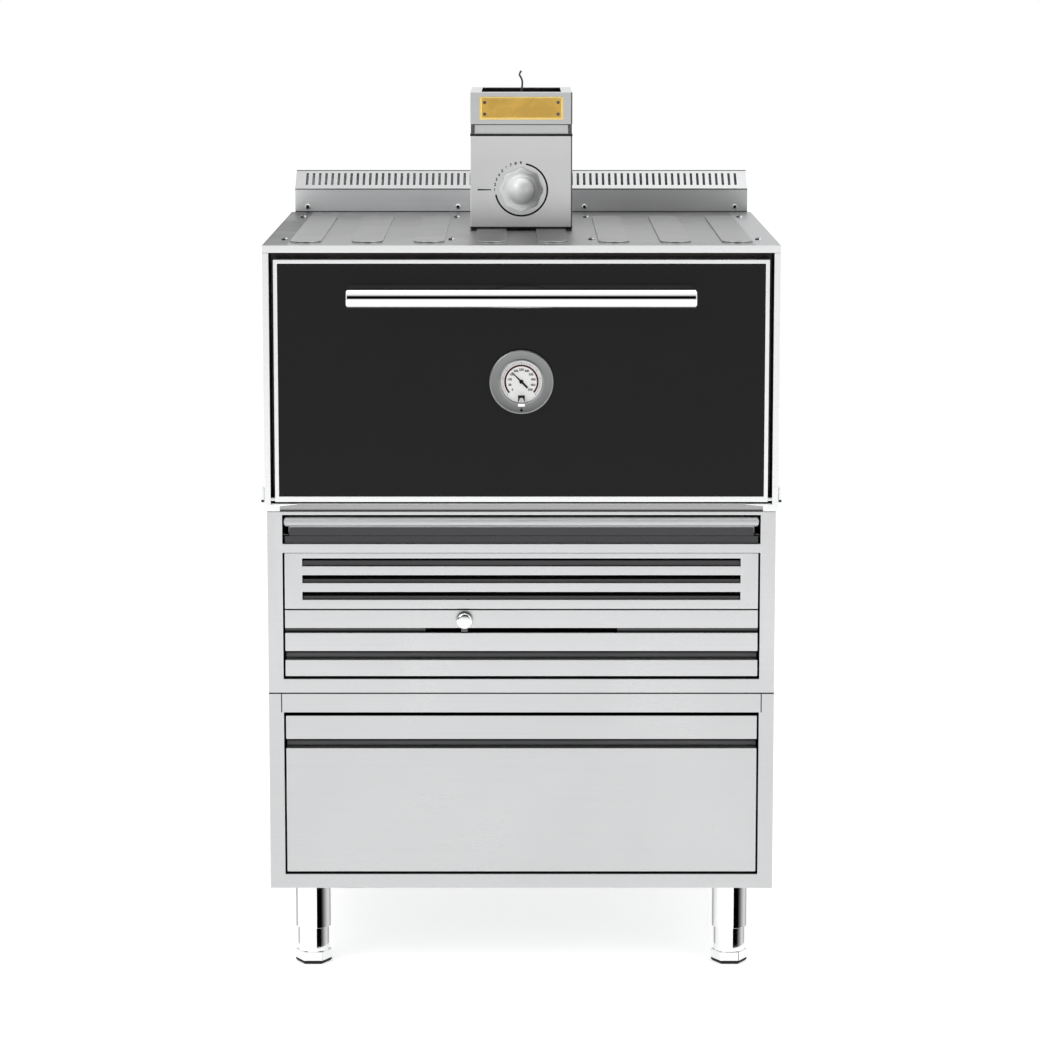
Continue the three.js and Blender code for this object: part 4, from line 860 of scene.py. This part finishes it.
# %% Dial and lens
back = ends("thermometer_dial", "y")[1]
face = back - 2.4
dial = turned("gauge_dial", [
    (0, back), (32.4, back), (32.4, face - 0.4), (31.9, face - 0.4), (31.3, face), (3.2, face),
    (2.6, face - 0.4), (1.0, face - 0.5), (0.9, face - 1.8), (0, face - 2.0)], GAUGE, Y, 72)
done(dial, "white_dial", "door", "thermometer_dial")
paint("gauge_dial", "black_needle", lambda n, x, y, z: math.hypot(x, z - GAUGE_HEIGHT) < 2.0)
front, rear = ends("thermometer_lens", "y")
lens = turned("gauge_lens", [
    (0, front - 0.3), (12, front - 0.2), (22, front), (30, front + 0.35), (32.3, front + 0.7),
    (32.3, rear), (24, rear - 0.1), (0, rear - 0.2)], GAUGE, Y, 72)
done(lens, "clear_glass", "door", "thermometer_lens")
print("dial face at", round(face, 2), "lens from", round(front, 2), "to", round(rear, 2))

# %% [markdown]
# The needle has a thick tail and a thin hand on a ring round the dial's pin. Both bars start
# upright as blocks, the hand's far end is drawn in, and the whole is turned to rest at 45
# degrees to the left.

# %% Needle
flat = ends("thermometer_needle", "y")
tail = block("tail", (-1.6, 1.6), flat, (930.1, 941.2))
hand = block("hand", (-1.3, 1.3), flat, (945.8, 964.5))
edit(hand, lambda corner: corner.co.z > 0.96, "VERT")
bpy.ops.transform.resize(value=(0.35, 1, 1), center_override=GAUGE)
close()
low, high = flat
hub = turned("hub", [(1.1, low), (3.3, low), (3.3, high), (1.1, high)], GAUGE, Y, 32, ring=True)
needle = joined("gauge_needle_hand", [hub, tail, hand])
edit(needle)
bpy.ops.transform.rotate(value=math.radians(45), orient_axis="Y", center_override=GAUGE)
close()
done(needle, "black_needle", "gauge_needle", "thermometer_needle")
print("needle:", len(needle.data.polygons), "faces")

# %% [markdown]
# The damper knob has a lobed skirt and a domed grip. The skirt starts as a disc with sixteen
# corners. Every other corner is drawn in, the rim gets a second line of corners to hold its
# edge, and a subdivision surface then rounds the outline into eight lobes.

# %% Damper knob skirt
bpy.ops.mesh.primitive_cylinder_add(
    vertices=16, radius=39.05 * MM, depth=11.4 * MM, location=place(0, 312.7, KNOB_HEIGHT),
    rotation=(math.pi / 2, 0, 0))
skirt = bpy.context.object
skirt.name = "damper_knob_skirt"
settle()


def hollow(corner):
    """Whether a corner is to be drawn in."""
    turn = math.degrees(math.atan2(corner.co.x, corner.co.z - KNOB.z))
    return round(turn / 22.5) % 2 == 1


edit(skirt, hollow, "VERT")
bpy.ops.transform.resize(value=(0.786, 1, 0.786), center_override=KNOB)
close()
edit(skirt, lambda f: abs(f.normal.y) > 0.9)
inset(1.0, apart=True)
inset(3.0, apart=True)
close()
edit(skirt, lambda f: f.normal.y < -0.9 and len(f.verts) > 4)
inset(1.0, -1.2)
inset(1.0)
close()
edit(skirt, lambda e: abs(e.verts[0].co.y - e.verts[1].co.y) > 0.011, "EDGE")
bpy.ops.mesh.subdivide(number_cuts=5)
close()
modify(skirt, "SUBSURF", levels=2, render_levels=2)
smooth(skirt, 60)
print("skirt:", len(skirt.data.polygons), "faces")

# %% [markdown]
# The grip in front of it is a shallow half ball on a foot. Its profile is a quarter of an
# ellipse, spun and then joined to the skirt.

# %% Damper knob grip
quarter = [math.radians(9 * i) for i in range(11)]
dome = [(22.0 * math.sin(a), 306.4 - 16.0 * math.cos(a)) for a in quarter]
foot = [(22.6, 307.4), (24.4, 308.4), (24.4, 312), (0, 312)]
grip = turned("grip", dome + foot, KNOB, Y, 72)
# Painted light: the knob's steel is painted lighter at its left and darker at its right.
knob = done(joined("damper_knob_grip", [skirt, grip]), "turned_knob_painted_light", "damper", "damper_knob")
print("damper knob:", len(knob.data.polygons), "faces")

# %% [markdown]
# The regulator's knob is a small turned button, whose back part is painted dark as shade.

# %% Regulator knob
REGULATOR = place(-89, 0, 569)
front, rear = ends("regulator_knob", "y")
button = turned("regulator_button", [
    (0, front), (8.5, front + 0.3), (10.8, front + 0.9), (12.1, front + 2.2), (12.5, front + 4.2),
    (12.2, rear - 1.6), (9.5, rear - 0.6), (9.5, rear), (0, rear)], REGULATOR, Y, 48)
done(button, "polished_steel", "air_regulator", "regulator_knob")
# Painted shade on the button's back part.
paint("regulator_button", "dark_and_shaded_steel", lambda n, x, y, z: y > front + 2.5)
print("button from", round(front, 2), "to", round(rear, 2))

# %% [markdown]
# The door turns on a pin at each side, whose end shows at the hinge plate; the end is painted
# black as shade.

# %% Hinge pins
SIDES = ((-1, "left"), (1, "right"))
PIN = [(0, 0), (1.9, 0), (1.9, 3.6), (1.4, 4.1), (0, 4.1)]
for side, label in SIDES:
    spot = place(400.4 * side, -3.2, 756.8)
    pin = turned(f"hinge_pin_end_{label}", PIN, spot, (side, 0, 0), 24)
    # Painted shade: the pin's end is black.
    done(pin, "black_rubber_and_shade", "oven_body")

# %% [markdown]
# # Screws
# Pan-head screws hold the top plate down and the upstand to the casing. One head with its
# socket is turned for each direction, and copied to its other places, each with its own mesh.

# %% Screws
HEAD = [(0, 1.0), (2.6, 1.0), (2.7, 3.1), (3.6, 3.1), (4.5, 2.2), (4.9, 0.8), (4.9, -0.2), (0, -0.2)]
ROW = (-372, -110, 110, 372)


def screws(name, spots, axis):
    """A head at each spot, with its socket painted black as shade. An upright one has painted shade
    at its near flank too.
    """
    first = Vector(spots[0])
    head = done(turned(name, HEAD, place(*first), axis, 24), "polished_steel", "oven_body")
    # Painted shade: the socket, and an upright head's near flank.
    paint(name, "black_rubber_and_shade", lambda n, x, y, z: (
        (Vector((x, y, z)) - first).cross(Vector(axis)).length < 2.7
        or axis == Z and n.y < -0.3 and n.x < 0.35))
    repeat(head, [place(*spot) - place(*first) for spot in spots[1:]])
    print(name, "-", len(spots), "heads")


screws("plate_screw", [(x, y, 1154) for y in (120, 628) for x in ROW], Z)
screws("wall_screw", [(x, 767, 1163) for x in ROW], (0, -1, 0))

# %% [markdown]
# # Small sheet pieces
# A strip of sheet starts as one point too: it is drawn out to the strip's length, that edge is
# extruded along the folds, and Solidify gives the sheet its thickness.

# %% Helper: a folded strip
def folded(name, left, right, folds, thickness, look):
    """A strip from left to right, folded along (y, z) points, in millimetres."""
    piece = trail(name, [place(left, *folds[0]), place(right, *folds[0])])
    for here, there in zip(folds, folds[1:]):
        step = place(0, *there) - place(0, *here)
        bpy.ops.mesh.extrude_region_move(TRANSFORM_OT_translate={"value": step})
    knit()
    modify(piece, "SOLIDIFY", thickness=thickness * MM, offset=0)
    return done(soften(piece, 0.2), look, "oven_body")


# %% [markdown]
# Behind each vent slot a louvre blade rises towards the back, so that nothing falls in and one
# sees a grey slope with a dark gap above it. A sill under the tray's lip closes the front of the
# tray's bay, and a narrow bright sill runs under the door. The blades and the tray's sill are
# dark shaded steel, a painted shade, and the door's sill takes the brighter steel, a painted
# highlight.

# %% Louvre blades and sills
blade = folded("vent_blade", -341, 341, [(5, 598), (5, 605.6), (12, 608.6)], 0.8, "shade_steel")
repeat(blade, [(0, 0, rise * MM) for rise in (26.5, 56.0)])
folded("tray_bay_sill", -369, 369, [(5.5, 689.4), (5.5, 700.2), (12, 700.2)], 1.0, "shade_steel")
folded("door_sill", -389, 389, [(1.4, 747), (1.4, 751.8), (9, 751.8)], 0.8, "highlit_steel")

# %% [markdown]
# A small wedge closes each end of the gap under the door, in the brighter steel, a painted
# highlight. It is a thin block whose inner lower edge is lifted.

# %% Corner wedges
for side, label in SIDES:
    span = sorted((349 * side, 384 * side))
    wedge = block(f"corner_wedge_{label}", span, (-1.0, 0.4), (747.5, 752))
    edit(wedge, lambda e: at(e)[2] < 747.6 and abs(at(e)[0]) < 350, "EDGE")
    bpy.ops.transform.translate(value=(0, 0, 3.4 * MM))
    close()
    done(soften(wedge, 0.25), "highlit_steel", "oven_body")
print("two wedges")

# %% [markdown]
# Black rope seals lie between the top plate, the damper housing and the firebreak; their black
# also stands for the shaded gaps there, a painted shade. Each is a block with its top and bottom
# faces inset and bridged, which leaves a frame.

# %% Housing seals
for label, z in (("lower", (1157.3, 1160.2)), ("upper", (1306.5, 1309.8))):
    seal = block(f"housing_seal_{label}", (-83.0, 83.0), (318.5, 569.5), z)
    edit(seal, lambda f: abs(f.normal.z) > 0.9)
    inset(4.0, apart=True)
    bpy.ops.mesh.bridge_edge_loops()
    close()
    # The seal's black is partly painted shade for the gap.
    done(soften(seal, 0.6), "black_rubber_and_shade", "oven_body")
    print(seal.name, len(seal.data.polygons), "faces")

# %% [markdown]
# The plate on the firebreak is bare brass with a raised border: its front is inset, pressed in
# and inset again. Four dark screws hold its corners.

# %% Brass plate
BORDER = 3.2
RIVET = [(0, 0.1), (2.3, 0.2), (2.7, -0.4), (2.7, -0.9), (0, -0.9)]
edge_x, edge_y, edge_z = [ends("badge_plate", axis) for axis in "xyz"]
middle = sum(edge_z) / 2
badge = block("brass_plate", edge_x, edge_y, edge_z)
edit(badge, lambda f: f.normal.y < -0.9)
inset(2.4)
inset(0.8, -0.7)
close()
done(soften(badge, 0.3), "brass", "firebreak", "badge_plate")
paint("brass_plate", "bright_brass", lambda n, x, y, z: n.y < -0.3 and (
    abs(x) > edge_x[1] - BORDER or abs(z - middle) > edge_z[1] - middle - BORDER))
spots = [place(x, edge_y[0], middle + z) for x in (-59.4, 59.4) for z in (-9.4, 9.4)]
heads = [turned("head", RIVET, spot, (0, -1, 0), 20) for spot in spots]
done(joined("plate_rivets", heads), "dark_steel", "firebreak")
print("brass plate", [round(v, 1) for v in edge_x + edge_z])

# %% [markdown]
# # Printing
# Scales are printed in a thin layer. A printed band is a small upright plane, spun part of the
# way round the scale's centre, and a tick is a very short band. Figures are text turned into
# meshes. Angles are in degrees, clockwise from the top.

# %% Helpers: printed bands and figures
INK = 0.12


def spot_on(centre, front, radius, angle):
    """The place of a mark at a radius and an angle from the scale's centre."""
    turn = math.radians(angle)
    out = Vector((math.sin(turn), 0, math.cos(turn)))
    return centre + out * (radius * MM) + Vector((0, front * MM, 0))


def band(centre, front, radius, width, start, end, steps=1):
    """A printed band from one angle to another. A short one is a tick."""
    bpy.ops.mesh.primitive_plane_add(
        size=1, location=spot_on(centre, front, radius, start),
        rotation=(0, math.pi / 2 + math.radians(start), 0))
    piece = bpy.context.object
    piece.scale = (width * MM, INK * MM, 1)
    settle()
    edit(piece)
    bpy.ops.mesh.spin(
        steps=steps, angle=math.radians(end - start), center=centre, axis=(0, -1, 0))
    knit()
    return piece


def figure(text, size, centre, front, radius, angle):
    """A printed figure, upright whatever its angle."""
    bpy.ops.object.text_add(
        location=spot_on(centre, front, radius, angle), rotation=(math.pi / 2, 0, 0))
    piece = bpy.context.object
    piece.data.body = text
    piece.data.size = size * MM
    piece.data.align_x = piece.data.align_y = "CENTER"
    piece.data.offset = 0.04 * size * MM
    piece.data.extrude = INK / 2 * MM
    bpy.ops.object.convert(target="MESH")
    settle()
    return bpy.context.object


# %% [markdown]
# The gauge reads from 0 to 500 over 264 degrees: a dark red band, ticks outside it and figures
# inside it.

# %% Gauge scale
ON_DIAL = face - 0.03
ZERO = 228
TURN = 264
arc = band(GAUGE, ON_DIAL, 25.2, 2.8, ZERO - 0.5, ZERO + TURN - 0.5, steps=60)
done(arc, "red_ink", "door")
arc.name = "dial_arc"
marks = []
for i in range(51):
    radius, width = (29.0, 2.4) if i % 5 == 0 else (28.5, 1.2)
    angle = ZERO + TURN * i / 50
    marks.append(band(GAUGE, ON_DIAL, radius, width, angle - 0.7, angle + 0.7))
for i in range(11):
    marks.append(figure(str(50 * i), 4.8, GAUGE, ON_DIAL, 18.6, ZERO + TURN * i / 10))
done(joined("dial_figures", marks), "black_needle", "door")
print("dial scale:", len(marks), "marks")

# %% [markdown]
# At the foot of the dial a black clip with a slot holds a white stop, which sits on the bezel's
# inner edge. The clip is a block whose lower middle edge is pushed up.

# %% Dial clip and stop
clip = block("dial_clip", (-5.3, 5.3), (-9.6, -8.7), (910.8, 922.8))
edit(clip)
for x in (-1.9, 1.9):
    bpy.ops.mesh.bisect(plane_co=place(x, 0, 0), plane_no=X)
    bpy.ops.mesh.select_all(action="SELECT")
close()
edit(clip, lambda e: abs(at(e)[0]) < 0.1 and at(e)[2] < 911, "EDGE")
bpy.ops.transform.translate(value=(0, 0, 8.0 * MM))
close()
done(soften(clip, 0.3), "black_needle", "door")
stop = block("dial_stop", (-5.3, 5.3), (-10.5, -8.2), (905.4, 909.7))
edit(stop, lambda f: f.normal.y < -0.9)
inset(0.8, 0.3)
close()
done(soften(stop, 0.3), "white_dial", "door")
print("clip:", len(clip.data.polygons), "faces")

# %% [markdown]
# The damper's scale on the housing is a black band over two thirds of a turn, then figures up
# to where the band starts again, with a short line beside the first figure.

# %% Damper scale
HOUSING_FRONT = 319
ON_HOUSING = HOUSING_FRONT - 0.04
marks = [band(KNOB, ON_HOUSING, 42.1, 2.9, 10, 259, steps=60)]
for i in range(9):
    marks.append(figure(str(i + 1), 6.4, KNOB, ON_HOUSING, 43.4, 270 + 11.1 * i))
marks.append(band(KNOB, ON_HOUSING, 60.0, 22.0, 269.0, 271.0))
done(joined("damper_scale", marks), "black_needle", "oven_body")
print("damper scale:", len(marks), "marks")

# %% [markdown]
# # Floor, light and camera
# The floor is a plain pale sheet. The eye sees it a little brighter than the lamps make it, also
# in the metal and through glass, so the backdrop is white while the shadow stays.

# %% Floor
def eye(tree):
    """1 for rays from the eye, off shiny pieces or through glass, and 0 for others."""
    ray = add(tree, "LightPath").outputs
    bounced = reckon(tree, "MAXIMUM", ray["Is Glossy Ray"], ray["Is Transmission Ray"])
    return reckon(tree, "MAXIMUM", ray["Is Camera Ray"], bounced)


def matt(name, colour, glow):
    """A surface without any shine, which the glow lights up by itself."""
    material, tree, shader = new_material(name)
    shader["Base Color"].default_value = colour
    shader["Specular IOR Level"].default_value = 0.0
    shader["Emission Color"].default_value = (1, 1, 1, 1)
    feed(shader["Emission Strength"], glow(tree))
    return material


bpy.ops.mesh.primitive_plane_add(size=60, location=(0, 0, 0))
floor = bpy.context.object
floor.name = "floor"
pale = matt(
    "pale_floor", (0.9, 0.9, 0.9, 1), lambda tree: reckon(tree, "MULTIPLY", eye(tree), 0.52))
shader_of(pale)["Roughness"].default_value = 0.9
floor.data.materials.append(pale)

# %% [markdown]
# Polished round legs mirror whatever stands beside them. A card curved round the right of each
# front leg, black in front and paler behind, gives them the sharp dark streak that a
# photographer's black flag gives, and a small grey one at the left draws their other edge. Only
# mirror reflections see the cards.

# %% Cards beside the front legs
def card_glow(tree):
    spot = add(tree, "SeparateXYZ", {0: add(tree, "TexCoord").outputs["Object"]}).outputs
    turn = reckon(tree, "ARCTAN2", spot["X"], reckon(tree, "MULTIPLY", spot["Y"], -1.0))
    turn = reckon(tree, "ABSOLUTE", turn)
    rise = ramp(tree, turn, math.radians(48), math.radians(104), 0.0, 0.75)
    fall = ramp(tree, turn, math.radians(105), math.radians(142), 1.0, 0.45)
    return reckon(tree, "MULTIPLY", rise, fall)


black = matt("black_card", (0, 0, 0, 1), card_glow)
LEG_X = 333
LEG_Y = 75
RADIUS = 0.12
HEIGHT = Vector((0, 0, 0.113))
for side, label in SIDES:
    for tone, first, last in (("black", 22, 142), ("grey", -144, -112)):
        start = math.radians(first)
        foot = Vector((RADIUS * math.sin(start), -RADIUS * math.cos(start), 0.001))
        card = trail(f"leg_card_{label}_{tone}", [foot, foot + HEIGHT])
        bpy.ops.mesh.spin(
            steps=24, angle=math.radians(last - first), center=(0, 0, 0), axis=(0, 0, -1))
        close()
        card.location = place(LEG_X * side, LEG_Y, 0)
        card.data.materials.append(black)
        card.visible_camera = card.visible_diffuse = False
        card.visible_shadow = card.visible_transmission = False
        print(card.name, "from", first, "to", last, "degrees")

# %% [markdown]
# The world is the studio's white walls. The wall behind the camera is darker, and only glossy
# rays see that, which gives round polished metal its dark streak.

# %% World
world = bpy.data.worlds.new("studio")
scene.world = world
world.use_nodes = True
tree = world.node_tree
tree.nodes.clear()
aim = add(tree, "SeparateXYZ", {0: add(tree, "TexCoord").outputs["Generated"]}).outputs
glossy = add(tree, "LightPath").outputs["Is Glossy Ray"]
stripe = ramp(tree, aim["Z"], -0.02, 0.16)
for part in (ramp(tree, aim["Z"], 0.56, 0.86, 1.0, 0.0), ramp(tree, aim["Y"], -0.2, -0.5), glossy):
    stripe = reckon(tree, "MULTIPLY", stripe, part)
level = reckon(tree, "SUBTRACT", 1.0, stripe)
seen = reckon(tree, "ADD", 0.62, reckon(tree, "MULTIPLY", eye(tree), 0.38))
level = reckon(tree, "MULTIPLY", level, seen)
sky = add(tree, "Background", {"Color": (1, 1, 1, 1), "Strength": level})
tree.links.new(sky.outputs[0], add(tree, "OutputWorld").inputs[0])

# %% [markdown]
# Three large soft lamps: the strongest high at the left front, a weaker one at the right, and
# one above. Each is given by its place and size in metres and its power in watts.

# %% Lamps
LAMPS = {
    "key": ((-2.6, -3.4, 3.4), 2.6, 56.0),
    "fill": ((3.0, -3.0, 2.2), 2.6, 24.0),
    "top": ((0.4, 0.2, 4.2), 3.0, 34.0),
}
MIDDLE = Vector((0, 0, 0.7))
for name, (spot, size, power) in LAMPS.items():
    lamp = bpy.data.objects.new(name, bpy.data.lights.new(name, "AREA"))
    scene.collection.objects.link(lamp)
    lamp.data.size = size
    lamp.data.energy = power
    lamp.location = spot
    lamp.rotation_euler = (MIDDLE - lamp.location).to_track_quat("-Z", "Y").to_euler()
print(", ".join(LAMPS), "lamps")

# %% [markdown]
# The camera stands where the photograph's did: a long lens from almost six metres away, tilted
# down by a little under nine degrees. These numbers come from the photograph's own vanishing
# lines.

# %% Camera
SENSOR = 36.0
PHOTO_WIDTH = 1040
FOCAL_PIXELS = 3706
TILT = 8.61
camera = bpy.data.objects.new("camera", bpy.data.cameras.new("camera"))
scene.collection.objects.link(camera)
camera.data.sensor_width = SENSOR
camera.data.lens = SENSOR * FOCAL_PIXELS / PHOTO_WIDTH
camera.location = (-0.0022, -6.0823, 1.5903)
camera.rotation_euler = (math.radians(90 - TILT), 0, 0)
scene.camera = camera
scene.view_settings.view_transform = "Standard"
